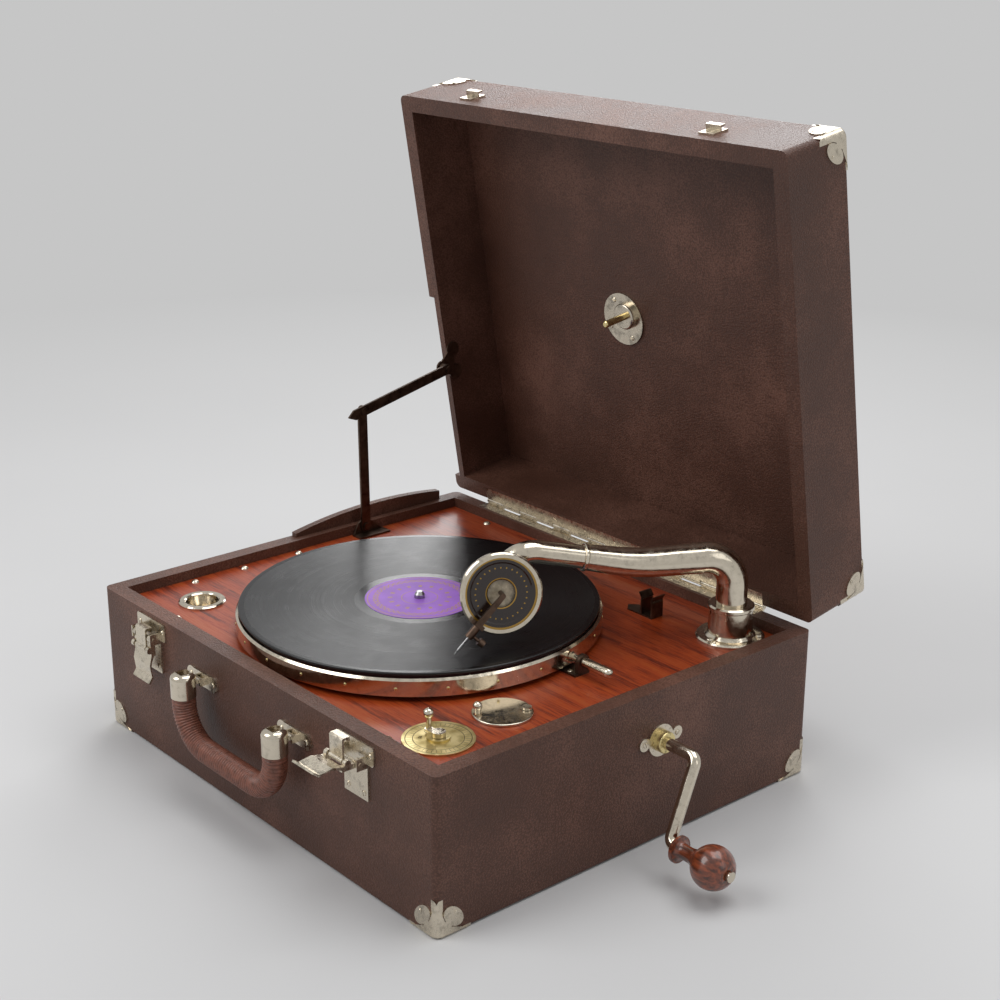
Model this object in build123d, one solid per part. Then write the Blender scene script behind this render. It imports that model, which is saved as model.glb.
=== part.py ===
from build123d import *
import math
import os

# Frame: the origin is the middle of the case's footprint on the table, X to the right seen from the
# handle side, Y to the back (the hinge side) and Z up. All lengths are millimetres.

# Case
CASE_WIDTH = 382.0
CASE_DEPTH = 328.0
RIM_HEIGHT = 107.0
WALL = 12.0
COVERED_EDGE = 5.0  # radius of the upright corners
SOFT_EDGE = 1.5  # radius of the other outer edges, under the covering
CAP_SHEET = 0.8  # thickness of the pressed corner caps, which the case stands on
BOTTOM_BOARD = 6.0
SEAT_GAP = 0.3  # between pieces that lie beside each other

# Lid
LID_DEPTH = 55.0  # rim to top, outside
LID_ROOF = 4.0
LID_PARTING = 0.4  # between the two rims when shut
LID_OPEN = 80.65  # degrees from shut, as it stands
HINGE_BACK = 2.5  # hinge axis behind the back wall
HINGE_RISE = 2.2  # hinge axis above the base rim
HINGE_LENGTH = 298.0
HINGE_MIDDLE = -3.0
KNUCKLES = 15
KNUCKLE_RADIUS = 2.1
KNUCKLE_GAP = 0.3
HINGE_PIN_RADIUS = 1.1
LEAF = 1.0
LEAF_WIDTH = 9.0
RUNNING_GAP = 0.08  # radial, between a pin and what turns on it

# Corner caps: on each of its three faces a cap has pointed arms and a rounded ear on a narrow neck
CAP_REACH = 26.0
CAP_NECK = 11.0
CAP_WAIST = 6.0
CAP_EAR_LONG = 9.0
CAP_EAR_WIDE = 5.5
CAP_EAR_PLACE = 12.5

# Motor board
BOARD_TOP = 99.5
BOARD = 9.0
BATTEN_WIDTH = 10.0
BATTEN_HEIGHT = 12.0
BOARD_SCREW_HEAD = 3.0
BOARD_SCREW_RISE = 1.8
BOARD_SCREW_INSET = 6.5

# Sound flap and horn
FLAP_FRONT = -1.0
FLAP_BACK = 141.0
FLAP_LOW = 16.0
FLAP_BOARD = 5.7
FLAP_FRONT_SHOULDER = 3.0  # height of the flap's front end above the rim
FLAP_BACK_SHOULDER = 7.0
FLAP_CROWN = 11.0  # height of the middle of its arch above the rim
FLAP_ROD = 1.2
MOUTH_FRONT = 10.0
MOUTH_BACK = 130.0
MOUTH_LOW = 24.0
MOUTH_HIGH = 76.0
HORN_SHEET = 1.2
HORN_PIPE = 12.0
HORN_MIDDLE_X = -40.0
HORN_THROAT_X = 112.0
HORN_END_X = 168.0

# Turntable, record and spindle
SPINDLE_X = -5.0
SPINDLE_Y = -21.0
TABLE_RADIUS = 126.8
TABLE_LOW = 103.2
TABLE_HIGH = 115.2
TABLE_SHEET = 2.0
TABLE_DECK = 114.2
TABLE_HUB = 11.0
FELT_RADIUS = 122.0
RECORD_RADIUS = 125.0
RECORD_TOP = 118.8
RECORD_THICK = 2.0
LABEL_RADIUS = 38.0
LABEL_THICK = 0.2
SPINDLE_RADIUS = 3.6
SPINDLE_RELIEF = 0.6  # the spindle is this much slimmer inside the record
SPINDLE_BARE = 2.4  # the full-size end above the record, under its taper
SPINDLE_TAPER = 2.0
SPINDLE_TOP = 123.5
RECORD_HOLE = 3.7

# Motor
MOTOR_PLATE = 2.3
MOTOR_LOW = 28.0
MOTOR_HIGH = 84.0
MOTOR_LEFT = -47.0
MOTOR_RIGHT = 86.0
MOTOR_FRONT = -72.0
MOTOR_BACK = 40.0
PILLAR_RADIUS = 3.5
PILLAR_INSET = 6.0
GEAR_MODULE = 1.25
GREAT_TEETH = 48
SMALL_TEETH = 12
MIDDLE_TEETH = 40
WORM_WHEEL_TEETH = 24
WINDING_TEETH = 36
BACKLASH = 0.35
MESH_GAP = 0.15  # added to the distance between two meshing shafts
GEAR_FACE = 3.0
PINION_FACE = 5.0
SHAFT_RADIUS = 2.5
MIDDLE_BEARING = -30.0  # direction, in degrees, of the middle shaft from the spindle
MIDDLE_WHEEL_Z = 37.0
GREAT_WHEEL_Z = 62.0
BARREL_RADIUS = 27.5
BARREL_LOW = 44.0
BARREL_HIGH = 66.0
BARREL_WALL = 1.5
MAINSPRING_TURNS = 7
MAINSPRING_BAND = 0.7
WORM_RADIUS = 5.0
WORM_LENGTH = 16.0
WORM_GAP = 0.4
GOVERNOR_Z = 56.0
GOVERNOR_SHAFT = 1.5
GOVERNOR_DISC = 14.0
GOVERNOR_WEIGHTS = 3

# Winding crank
CRANK_Y = 19.0
CRANK_Z = 72.0
CRANK_ROD = 4.1
CRANK_THROW = 56.0
CRANK_LEAN = 29.0  # degrees of the throw from straight down towards the front
CRANK_REACH = 32.0  # first bend from the side of the case
CRANK_STEP = 5.0  # the throw leans outwards by this much
CRANK_BEND = 6.5
BUSH_RADIUS = 7.3
BUSH_REACH = 7.0
KNOB_FLANGE = 9.0
KNOB_NECK = 4.9
KNOB_BALL = 14.2
KNOB_START = 44.0  # from the side of the case
KNOB_BALL_PLACE = 30.0  # ball's middle from the flange
KNOB_PIN = 2.5

# Tone arm
ARM_X = 150.0
ARM_Y = 127.0
ARM_HEADING = 60.0  # degrees of the arm's plan line from -X towards -Y
FLANGE_RADIUS = 23.7
FLANGE_THICK = 2.5
SLEEVE_FOOT = 15.5
SLEEVE_NECK = 14.8
SLEEVE_TOP = 124.5
SLEEVE_LIP = 1.2
ARM_TUBE = 10.75
ARM_END = 8.7
ARM_SHEET = 1.0
ARM_RISE = 158.8  # height of the arm's axis after its bend
ARM_BEND = 20.0
ARM_DIP = 1.5  # degrees down after the bend
ARM_CLIMB = 10.5  # degrees up before the collar
ARM_FIRST_RUN = 30.0
ARM_SWEEP = 150.0  # radius of the gentle curve
ARM_LAST_RUN = 21.0
COLLAR_RADIUS = 9.5
COLLAR_WIDTH = 2.4

# Gooseneck and soundbox
NECK_RADIUS = 7.9
NECK_SPIGOT = 9.0
NECK_RUN = 33.0
NECK_TOP_BEND = 22.0
NECK_SIDE_BEND = 12.5
NECK_DROP = 55.0  # slope, in degrees, between its two bends
FACE_TILT = 9.0  # degrees that the face looks up
BOX_RADIUS = 27.2
BOX_DEPTH = 12.0
BOX_BOSS = 3.0
BOX_BOSS_RADIUS = 10.5
DIAPHRAGM = 0.6
FACE_RING = 23.8
FACE_HOLE = 9.0
NEEDLE_TURN = -47.6  # direction of the needle round the face, from the arm's heading
NEEDLE_REACH = 49.0  # face middle to needle tip, along the face
NEEDLE_STAND = 5.7  # needle in front of the face
NEEDLE_RADIUS = 0.75
NEEDLE_LENGTH = 17.0
SOCKET_RADIUS = 2.8
SOCKET_END = 35.0

# Brake
BRAKE_Y = 8.0
BRAKE_Z = 108.5
BRAKE_LUG_X = 128.0
BRAKE_ROD = 2.4
BRAKE_GRIP = 3.4
BRAKE_END_X = 157.0

# Small fittings on the board
DIAL_X = 142.5
DIAL_Y = -122.5
DIAL_RADIUS = 22.6
DIAL_THICK = 1.2
LEVER_REACH = 9.5
NEEDLE_CUP_X = -136.5
NEEDLE_CUP_Y = -116.0
NEEDLE_CUP_RADIUS = 16.8
NEEDLE_CUP_HOLE = 11.6
NEEDLE_CUP_DEPTH = 15.0
BOX_X = 140.5
BOX_Y = -70.0
BOX_LID_RADIUS = 19.5
BOX_BORE = 12.0
BOX_CUP_DEPTH = 15.0
BOX_PIVOT_TURN = 60.0  # direction of the lid's screw from its middle
BOX_PIVOT_REACH = 15.5
CLIP_X = 66.0
CLIP_Y = 112.0
CLIP_LENGTH = 29.0
CLIP_WIDTH = 11.0
CLIP_GAP = 8.8
CLIP_HEIGHT = 17.0
CLIP_SHEET = 1.2

# Front fittings
FITTINGS_X = -4.2
LATCH_SPACING = 240.0
LATCH_PLATE = 1.2
LATCH_TOP = 104.0
LATCH_SHOULDER = 91.0
LATCH_LOW = 66.0
LATCH_WIDE = 36.5
LATCH_NARROW = 24.0
LATCH_PIVOT_Z = 93.0
LATCH_PIVOT_OUT = 6.5
LATCH_PIN = 1.2
LATCH_ARM = 33.0
LATCH_SHEET = 1.4
LATCH_LEVER_WIDTH = 22.0
LATCH_RIGHT_SWING = 90.0  # the right lever stands out level
CLAW_PIN_OUT = 2.5  # claw pin from the lever pin
CLAW_PIN_DOWN = 8.0
CLAW_HEIGHT = 15.0
CLAW_WIDTH = 13.0
CLAW_PIN = 0.9
CATCH_LOW = 9.0  # catch plate above the lid's rim
CATCH_HEIGHT = 14.0
HANDLE_SPACING = 108.8
HANDLE_PLATE_Z = 81.0
HANDLE_PIN_OUT = 4.2
HANDLE_PIN = 1.2
HANDLE_OUT = 16.0  # grip's middle line from the case
HANDLE_PIVOT_Z = 83.5
HANDLE_EYE = 2.6
LINK_WIDTH = 7.0
HANDLE_CAP_RADIUS = 8.6
HANDLE_CAP_LOW = 73.0
HANDLE_CAP_HIGH = 90.0
HANDLE_GRIP_RADIUS = 8.2
HANDLE_LOW = 42.0  # height of the grip's middle line at the bottom
HANDLE_CORNER = 27.0

# Stay
STAY_FOOT_Y = 56.7
STAY_FOOT_Z = 106.5
STAY_ELBOW_Y = 55.6
STAY_ELBOW_Z = 201.7
STAY_LID_Y = 139.1
STAY_LID_Z = 220.7
STAY_WIDTH = 8.0
STAY_BAR = 1.8
STAY_RIVET = 1.8
STAY_HEAD = 2.9
STAY_HEAD_RISE = 0.9
STAY_TAIL = 15.0
STAY_LAYER_GAP = 0.4

# Record holder in the lid, as places under the shut lid
HOLDER_X = -22.0
HOLDER_Y = 0.0
HOLDER_RADIUS = 20.0
HOLDER_PLATE = 1.5
HOLDER_HUB = 10.0
HOLDER_HUB_DEPTH = 5.0
HOLDER_PIN_X = -15.0
HOLDER_PIN_Y = -5.0
HOLDER_PIN_RADIUS = 2.6
HOLDER_PIN_LENGTH = 25.0

LEFT = -CASE_WIDTH / 2
RIGHT = CASE_WIDTH / 2
FRONT = -CASE_DEPTH / 2
BACK = CASE_DEPTH / 2
BOARD_LOW = BOARD_TOP - BOARD
HINGE_Y = BACK + HINGE_BACK
HINGE_Z = RIM_HEIGHT + HINGE_RISE
HINGE_LEFT = HINGE_MIDDLE - HINGE_LENGTH / 2
HINGE_RIGHT = HINGE_MIDDLE + HINGE_LENGTH / 2
LID_RIM = RIM_HEIGHT + LID_PARTING
LID_TOP = LID_RIM + LID_DEPTH
LID_CEILING = LID_TOP - LID_ROOF
HINGE_AXIS = Axis((0, HINGE_Y, HINGE_Z), (1, 0, 0))
FLAP_AXIS_X = LEFT + FLAP_BOARD / 2
FLAP_AXIS_Z = FLAP_LOW + FLAP_BOARD / 2
RECORD_LOW = RECORD_TOP - RECORD_THICK


def write(name, *solids):
    """Writes one named piece, or a group of like pieces, in one file."""
    shape = solids[0] if len(solids) == 1 else Compound(children=list(solids))
    export_step(shape, f"parts/{name}.step")


def open_lid(shape):
    """Swings something made under the shut lid to where the lid stands."""
    return shape.rotate(HINGE_AXIS, -LID_OPEN)


def slab(x_low, x_high, y_low, y_high, z_low, z_high):
    """A box between six faces."""
    centre = ((x_low + x_high) / 2, (y_low + y_high) / 2, (z_low + z_high) / 2)
    return Pos(*centre) * Box(x_high - x_low, y_high - y_low, z_high - z_low)


def rod(start, end, radius):
    """A round bar between two points."""
    line = Vector(*end) - Vector(*start)
    return Solid.make_cylinder(radius, line.length, Plane(origin=start, z_dir=line))


def disc(x, y, z_low, z_high, radius):
    """An upright round plate."""
    return rod((x, y, z_low), (x, y, z_high), radius)


def cross_rod(x, y, z, length, radius):
    """A round bar along X about a middle point."""
    return rod((x - length / 2, y, z), (x + length / 2, y, z), radius)


def side_strip(outline, x_low, x_high):
    """A plate across X from an outline drawn in Y and Z."""
    plane = Plane(origin=(x_low, 0, 0), x_dir=(0, 1, 0), z_dir=(1, 0, 0))
    return extrude(plane * outline, amount=x_high - x_low)


def turned(profile, x=0.0, y=0.0):
    """A body of revolution about an upright axis, from a profile in radius and height."""
    face = Plane.XZ * make_face(profile)
    return Pos(x, y, 0) * revolve(face, Axis.Z)


def covered_box(grow, z_low, z_high, base):
    """The outer block of the case (base) or of the lid, larger by grow on every side."""
    block = slab(LEFT - grow, RIGHT + grow, FRONT - grow, BACK + grow, z_low - grow, z_high + grow)
    block = fillet(block.edges().filter_by(Axis.Z), COVERED_EDGE + grow)
    outer_face = block.faces().sort_by(Axis.Z)[0 if base else -1]
    return fillet(outer_face.edges(), SOFT_EDGE + grow)


def base_block(grow):
    """The case's outer block."""
    return covered_box(grow, CAP_SHEET, RIM_HEIGHT, True)


def lid_block(grow):
    """The shut lid's outer block."""
    return covered_box(grow, LID_RIM, LID_TOP, False)


def case_shell():
    """The covered walls, open above and below, with the crank hole and the sound opening."""
    shell = base_block(0)
    shell -= slab(LEFT + WALL, RIGHT - WALL, FRONT + WALL, BACK - WALL, 0, RIM_HEIGHT + WALL)
    shell -= slab(LEFT - WALL, LEFT + WALL / 2, FLAP_FRONT - SEAT_GAP, FLAP_BACK + SEAT_GAP,
                  FLAP_LOW - SEAT_GAP, RIM_HEIGHT + WALL)
    shell -= slab(LEFT, LEFT + 2 * WALL, MOUTH_FRONT, MOUTH_BACK, MOUTH_LOW, MOUTH_HIGH)
    shell -= rod((FLAP_AXIS_X, FLAP_FRONT - WALL / 2, FLAP_AXIS_Z),
                 (FLAP_AXIS_X, FLAP_BACK + WALL / 2, FLAP_AXIS_Z),
                 FLAP_ROD)
    shell -= rod((RIGHT - 2 * WALL, CRANK_Y, CRANK_Z), (RIGHT + WALL, CRANK_Y, CRANK_Z), BUSH_RADIUS)
    shell -= slab(HINGE_LEFT, HINGE_RIGHT, BACK - LEAF_WIDTH, BACK + WALL, RIM_HEIGHT - LEAF,
                  RIM_HEIGHT + WALL)
    return wall_boards(shell)


def wall_boards(shell):
    """The walls as four boards, mitred at the corners."""
    meeting = RIGHT - CASE_DEPTH / 2
    front = Polyline((LEFT, FRONT), (RIGHT, FRONT), (meeting, 0), (-meeting, 0), close=True)
    left = Polyline((LEFT, FRONT), (-meeting, 0), (LEFT, BACK), close=True)
    sectors = [extrude(make_face(outline), amount=RIM_HEIGHT) for outline in (front, left)]
    sectors += [sectors[0].mirror(Plane.XZ), sectors[1].mirror(Plane.YZ)]
    return [shell & sector for sector in sectors]


def bottom_board():
    """The board that closes the case below; its middle stands level with the undersides of the caps."""
    high = CAP_SHEET + BOTTOM_BOARD
    board = slab(LEFT + WALL, RIGHT - WALL, FRONT + WALL, BACK - WALL, CAP_SHEET, high)
    return board + slab(LEFT + CAP_REACH, RIGHT - CAP_REACH, FRONT + CAP_REACH, BACK - CAP_REACH, 0, high)


def battens():
    """Strips inside the walls, which carry the motor board."""
    x = RIGHT - WALL
    y = BACK - WALL
    low = BOARD_LOW - BATTEN_HEIGHT
    end = y - BATTEN_WIDTH
    strips = [slab(-x, x, -y, -end, low, BOARD_LOW), slab(-x, x, end, y, low, BOARD_LOW)]
    strips.append(slab(-x, BATTEN_WIDTH - x, -end, end, low, BOARD_LOW))
    strips.append(slab(x - BATTEN_WIDTH, x, -end, CRANK_Y - WALL, low, BOARD_LOW))
    strips.append(slab(x - BATTEN_WIDTH, x, CRANK_Y + WALL, end, low, BOARD_LOW))
    return strips


def motor_board():
    """The mahogany board with a hole for each thing that goes through it."""
    inset = WALL + SEAT_GAP
    board = slab(LEFT + inset, RIGHT - inset, FRONT + inset, BACK - inset, BOARD_LOW, BOARD_TOP)
    board -= disc(SPINDLE_X, SPINDLE_Y, BOARD_LOW, BOARD_TOP, SPINDLE_RADIUS + 2)
    board -= disc(ARM_X, ARM_Y, BOARD_LOW, BOARD_TOP, HORN_PIPE)
    board -= disc(DIAL_X, DIAL_Y, BOARD_LOW, BOARD_TOP, SHAFT_RADIUS + 1)
    board -= disc(NEEDLE_CUP_X, NEEDLE_CUP_Y, BOARD_LOW, BOARD_TOP, NEEDLE_CUP_HOLE + 1.2)
    return board - disc(BOX_X, BOX_Y, BOARD_LOW, BOARD_TOP, BOX_BORE + 1.2)


def board_screws():
    """Round-headed wood screws, seated on the board over the battens."""
    x = RIGHT - WALL - BOARD_SCREW_INSET
    y = BACK - WALL - BOARD_SCREW_INSET
    places = [(-x, place) for place in (-100.0, -57.0, -8.0)] + [(x, place) for place in (-100.0, -7.0, 66.0)]
    places += [(-122.0, -y), (0.0, -y), (122.0, -y), (-130.0, y), (10.0, y)]
    sink = (BOARD_SCREW_HEAD**2 - BOARD_SCREW_RISE**2) / (2 * BOARD_SCREW_RISE)
    ball = Sphere(BOARD_SCREW_RISE + sink)
    screws = []
    for place_x, place_y in places:
        head = Pos(place_x, place_y, BOARD_TOP - sink) * ball
        screws.append(head & disc(place_x, place_y, BOARD_TOP, BOARD_TOP + BOARD_SCREW_HEAD,
                                  BOARD_SCREW_HEAD + 1))
    return screws


def cap_outline():
    """One face of a corner cap, drawn from the corner inwards."""
    arms = Polygon((0, 0), (CAP_REACH, 0), (CAP_NECK, CAP_WAIST), (CAP_NECK, CAP_NECK), (CAP_WAIST, CAP_NECK),
                   (0, CAP_REACH), align=None)
    ear = Pos(CAP_EAR_PLACE, CAP_EAR_PLACE) * Rot(0, 0, -45) * Ellipse(CAP_EAR_LONG, CAP_EAR_WIDE)
    return arms + ear


def corner_caps(block, z_face, up):
    """Four pressed caps over the corners of a block, whose arms go inwards from the face at z_face."""
    skin = block(CAP_SHEET) - block(0)
    depth = COVERED_EDGE
    corner = (RIGHT, FRONT, z_face)
    faces = [
        Plane(corner, x_dir=(-1, 0, 0), z_dir=(0, 0, -1)),
        Plane(corner, x_dir=(0, 1, 0), z_dir=(-up, 0, 0)),
        Plane(corner, x_dir=(-1, 0, 0), z_dir=(0, -up, 0)),
    ]
    near = slab(RIGHT - 2 * CAP_REACH, RIGHT + CAP_REACH, FRONT - CAP_REACH, FRONT + 2 * CAP_REACH,
                z_face - 2 * CAP_REACH, z_face + 2 * CAP_REACH)
    skin = skin & near
    keep = [extrude(face * cap_outline(), amount=depth, both=True) for face in faces]
    cap = skin & (keep[0] + keep[1] + keep[2])
    right = [cap, cap.mirror(Plane.XZ)]
    return right + [piece.mirror(Plane.YZ) for piece in right]


def lid_shell():
    """The covered lid, hollow below, rebated for the sound flap's arch."""
    shell = lid_block(0)
    shell -= slab(LEFT + WALL, RIGHT - WALL, FRONT + WALL, BACK - WALL, LID_RIM - WALL, LID_CEILING)
    shell -= slab(LEFT - WALL, LEFT + WALL / 2, FLAP_FRONT - 2, FLAP_BACK + WALL, LID_RIM - WALL,
                  RIM_HEIGHT + FLAP_CROWN + 2)
    shell -= slab(HINGE_LEFT, HINGE_RIGHT, BACK - LEAF_WIDTH, BACK + WALL, LID_RIM - WALL, LID_RIM + LEAF)
    return open_lid(shell)


def knuckles(first, bore):
    """Every second knuckle of the long hinge, from the first one on."""
    pitch = HINGE_LENGTH / KNUCKLES
    length = pitch - KNUCKLE_GAP
    solids = []
    for number in range(first, KNUCKLES, 2):
        middle = HINGE_LEFT + pitch * (number + 0.5)
        barrel = cross_rod(middle, HINGE_Y, HINGE_Z, length, KNUCKLE_RADIUS)
        web_low = RIM_HEIGHT - LEAF if first == 0 else LID_RIM
        web = slab(middle - length / 2, middle + length / 2, BACK - LEAF, HINGE_Y, web_low, web_low + LEAF)
        joined = barrel + web
        if first == 0:
            joined += slab(middle - length / 2, middle + length / 2, HINGE_Y - LEAF, HINGE_Y, web_low,
                           HINGE_Z)
        solids.append(joined - cross_rod(middle, HINGE_Y, HINGE_Z, pitch, bore))
    return solids


def hinge_base_leaf():
    """The leaf let into the case's rim, with its knuckles."""
    leaf = slab(HINGE_LEFT, HINGE_RIGHT, BACK - LEAF_WIDTH, BACK, RIM_HEIGHT - LEAF, RIM_HEIGHT)
    for knuckle in knuckles(0, HINGE_PIN_RADIUS):
        leaf += knuckle
    return leaf


def hinge_lid_leaf():
    """The leaf let into the lid's rim, with the knuckles between."""
    leaf = slab(HINGE_LEFT, HINGE_RIGHT, BACK - LEAF_WIDTH, BACK, LID_RIM, LID_RIM + LEAF)
    for knuckle in knuckles(1, HINGE_PIN_RADIUS + RUNNING_GAP):
        leaf += knuckle
    return open_lid(leaf)


def hinge_pin():
    """The wire through all the knuckles."""
    return cross_rod(HINGE_MIDDLE, HINGE_Y, HINGE_Z, HINGE_LENGTH, HINGE_PIN_RADIUS)


def lid_catches():
    """Two plates with an upturned lip, on the lid's front."""
    low = LID_RIM + CATCH_LOW
    hook = low + CATCH_HEIGHT / 2
    profile = Polyline((FRONT, low), (FRONT - 1.2, low), (FRONT - 1.2, hook), (FRONT - 5, hook),
                       (FRONT - 5, hook + 4.5),
                       (FRONT - 3.8, hook + 4.5), (FRONT - 3.8, hook + 1.2), (FRONT - 1.2, hook + 1.2),
                       (FRONT - 1.2, low + CATCH_HEIGHT), (FRONT, low + CATCH_HEIGHT), close=True)
    catches = []
    for side in (-1, 1):
        middle = FITTINGS_X + side * LATCH_SPACING / 2
        catches.append(open_lid(side_strip(make_face(profile), middle - CLAW_WIDTH / 2,
                                           middle + CLAW_WIDTH / 2)))
    return catches


def record_holder_plate():
    """The round plate screwed to the lid's ceiling."""
    return open_lid(disc(HOLDER_X, HOLDER_Y, LID_CEILING - HOLDER_PLATE, LID_CEILING, HOLDER_RADIUS))


def record_holder_hub():
    """The round block off the middle of the plate."""
    high = LID_CEILING - HOLDER_PLATE
    hub = disc(HOLDER_PIN_X - 2, HOLDER_PIN_Y + 1, high - HOLDER_HUB_DEPTH, high, HOLDER_HUB)
    hub = fillet(hub.faces().sort_by(Axis.Z)[0].edges(), 1.5)
    return open_lid(hub - disc(HOLDER_PIN_X, HOLDER_PIN_Y, high - HOLDER_HUB_DEPTH, high, HOLDER_PIN_RADIUS))


def record_holder_pin():
    """The brass pin that goes through a stored record's hole."""
    high = LID_CEILING - HOLDER_PLATE
    pin = disc(HOLDER_PIN_X, HOLDER_PIN_Y, high - HOLDER_PIN_LENGTH, high, HOLDER_PIN_RADIUS)
    return open_lid(chamfer(pin.faces().sort_by(Axis.Z)[0].edges(), 0.8))


def sound_flap():
    """The arched board that covers the horn's mouth, round at its foot where its rod goes through."""
    front_top = RIM_HEIGHT + FLAP_FRONT_SHOULDER
    back_top = RIM_HEIGHT + FLAP_BACK_SHOULDER
    middle = (FLAP_FRONT + FLAP_BACK) / 2
    arch = ThreePointArc((FLAP_FRONT, front_top), (middle, RIM_HEIGHT + FLAP_CROWN), (FLAP_BACK, back_top))
    rest = Polyline((FLAP_BACK, back_top), (FLAP_BACK, FLAP_AXIS_Z), (FLAP_FRONT, FLAP_AXIS_Z),
                    (FLAP_FRONT, front_top))
    flap = side_strip(make_face([arch, rest]), LEFT, LEFT + FLAP_BOARD)
    flap += rod((FLAP_AXIS_X, FLAP_FRONT, FLAP_AXIS_Z), (FLAP_AXIS_X, FLAP_BACK, FLAP_AXIS_Z), FLAP_BOARD / 2)
    return flap - rod((FLAP_AXIS_X, FLAP_FRONT, FLAP_AXIS_Z), (FLAP_AXIS_X, FLAP_BACK, FLAP_AXIS_Z),
                      FLAP_ROD + RUNNING_GAP)


def sound_flap_rod():
    """The steel rod that the flap turns on."""
    return rod((FLAP_AXIS_X, FLAP_FRONT - WALL / 2, FLAP_AXIS_Z),
               (FLAP_AXIS_X, FLAP_BACK + WALL / 2, FLAP_AXIS_Z), FLAP_ROD)


def horn_section(x, y_low, y_high, z_low, z_high, inset):
    """One rectangular section of the horn, across X."""
    centre = (x, (y_low + y_high) / 2, (z_low + z_high) / 2)
    plane = Plane(origin=centre, x_dir=(0, 1, 0), z_dir=(1, 0, 0))
    return plane * Rectangle(y_high - y_low - 2 * inset, z_high - z_low - 2 * inset)


def horn_block(inset):
    """The horn's outside (inset nought) or the air inside it."""
    start = LEFT + WALL - inset
    z_end = (40.0, MOUTH_HIGH)
    throat = (108.0, 146.0)
    mouth = horn_section(start, MOUTH_FRONT - HORN_SHEET, MOUTH_BACK + HORN_SHEET, MOUTH_LOW - HORN_SHEET,
                         MOUTH_HIGH + HORN_SHEET, inset)
    middle = horn_section(HORN_MIDDLE_X, 60.0, 140.0, 32.0, MOUTH_HIGH + HORN_SHEET, inset)
    end = horn_section(HORN_THROAT_X, *throat, z_end[0], MOUTH_HIGH + HORN_SHEET, inset)
    block = loft([mouth, middle], ruled=True) + loft([middle, end], ruled=True)
    block += slab(HORN_THROAT_X, HORN_END_X - inset, throat[0] + inset, throat[1] - inset, z_end[0] + inset,
                  MOUTH_HIGH + HORN_SHEET - inset)
    return block + disc(ARM_X, ARM_Y, z_end[1] - 4, BOARD_TOP + inset, HORN_PIPE - inset)


def sound_horn():
    """The folded metal duct from the tone arm's foot to the mouth in the left wall."""
    return horn_block(0) - horn_block(HORN_SHEET)


def turntable():
    """The pressed plate with its rolled rim and its hub."""
    inner = TABLE_RADIUS - TABLE_SHEET
    profile = Polyline((RECORD_HOLE, TABLE_DECK), (FELT_RADIUS, TABLE_DECK), (FELT_RADIUS + 1, TABLE_HIGH),
                       (TABLE_RADIUS - 1.5, TABLE_HIGH), (TABLE_RADIUS, TABLE_HIGH - 1.5),
                       (TABLE_RADIUS, TABLE_LOW),
                       (inner, TABLE_LOW), (inner, TABLE_DECK - TABLE_SHEET),
                       (TABLE_HUB, TABLE_DECK - TABLE_SHEET),
                       (TABLE_HUB, TABLE_LOW), (RECORD_HOLE, TABLE_LOW), close=True)
    return turned(profile, SPINDLE_X, SPINDLE_Y)


def round_sheet(z_low, z_high, radius):
    """A disc with the spindle hole: felt, record or label."""
    sheet = disc(SPINDLE_X, SPINDLE_Y, z_low, z_high, radius)
    return sheet - disc(SPINDLE_X, SPINDLE_Y, z_low, z_high, RECORD_HOLE)


def record():
    """The record, with a raised rim edge and a recess for the label."""
    half = RECORD_THICK / 2
    middle = RECORD_TOP - half
    disc_edge = ThreePointArc((RECORD_RADIUS - half, RECORD_TOP), (RECORD_RADIUS, middle),
                              (RECORD_RADIUS - half, RECORD_LOW))
    rest = Polyline((RECORD_RADIUS - half, RECORD_LOW), (RECORD_HOLE, RECORD_LOW), (RECORD_HOLE, RECORD_TOP),
                    (RECORD_RADIUS - half, RECORD_TOP))
    return turned([disc_edge, rest], SPINDLE_X, SPINDLE_Y)


def spindle():
    """The motor's main shaft, slimmer inside the record, whose tapered top comes through it."""
    neck = SPINDLE_RADIUS - SPINDLE_RELIEF
    shoulder = MOTOR_LOW + MOTOR_PLATE + 3
    taper = SPINDLE_TOP - SPINDLE_TAPER
    bare = taper - SPINDLE_BARE
    profile = Polyline((0, MOTOR_LOW), (SPINDLE_RADIUS - 1, MOTOR_LOW), (SPINDLE_RADIUS - 1, shoulder - 1),
                       (SPINDLE_RADIUS, shoulder), (SPINDLE_RADIUS, RECORD_LOW), (neck, RECORD_LOW),
                       (neck, bare), (SPINDLE_RADIUS, bare), (SPINDLE_RADIUS, taper),
                       (SPINDLE_RADIUS - 1.5, SPINDLE_TOP), (0, SPINDLE_TOP), close=True)
    return turned(profile, SPINDLE_X, SPINDLE_Y)


def polar(distance, degrees):
    """A step in the plan, as X and Y."""
    turn = math.radians(degrees)
    return distance * math.cos(turn), distance * math.sin(turn)


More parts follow.
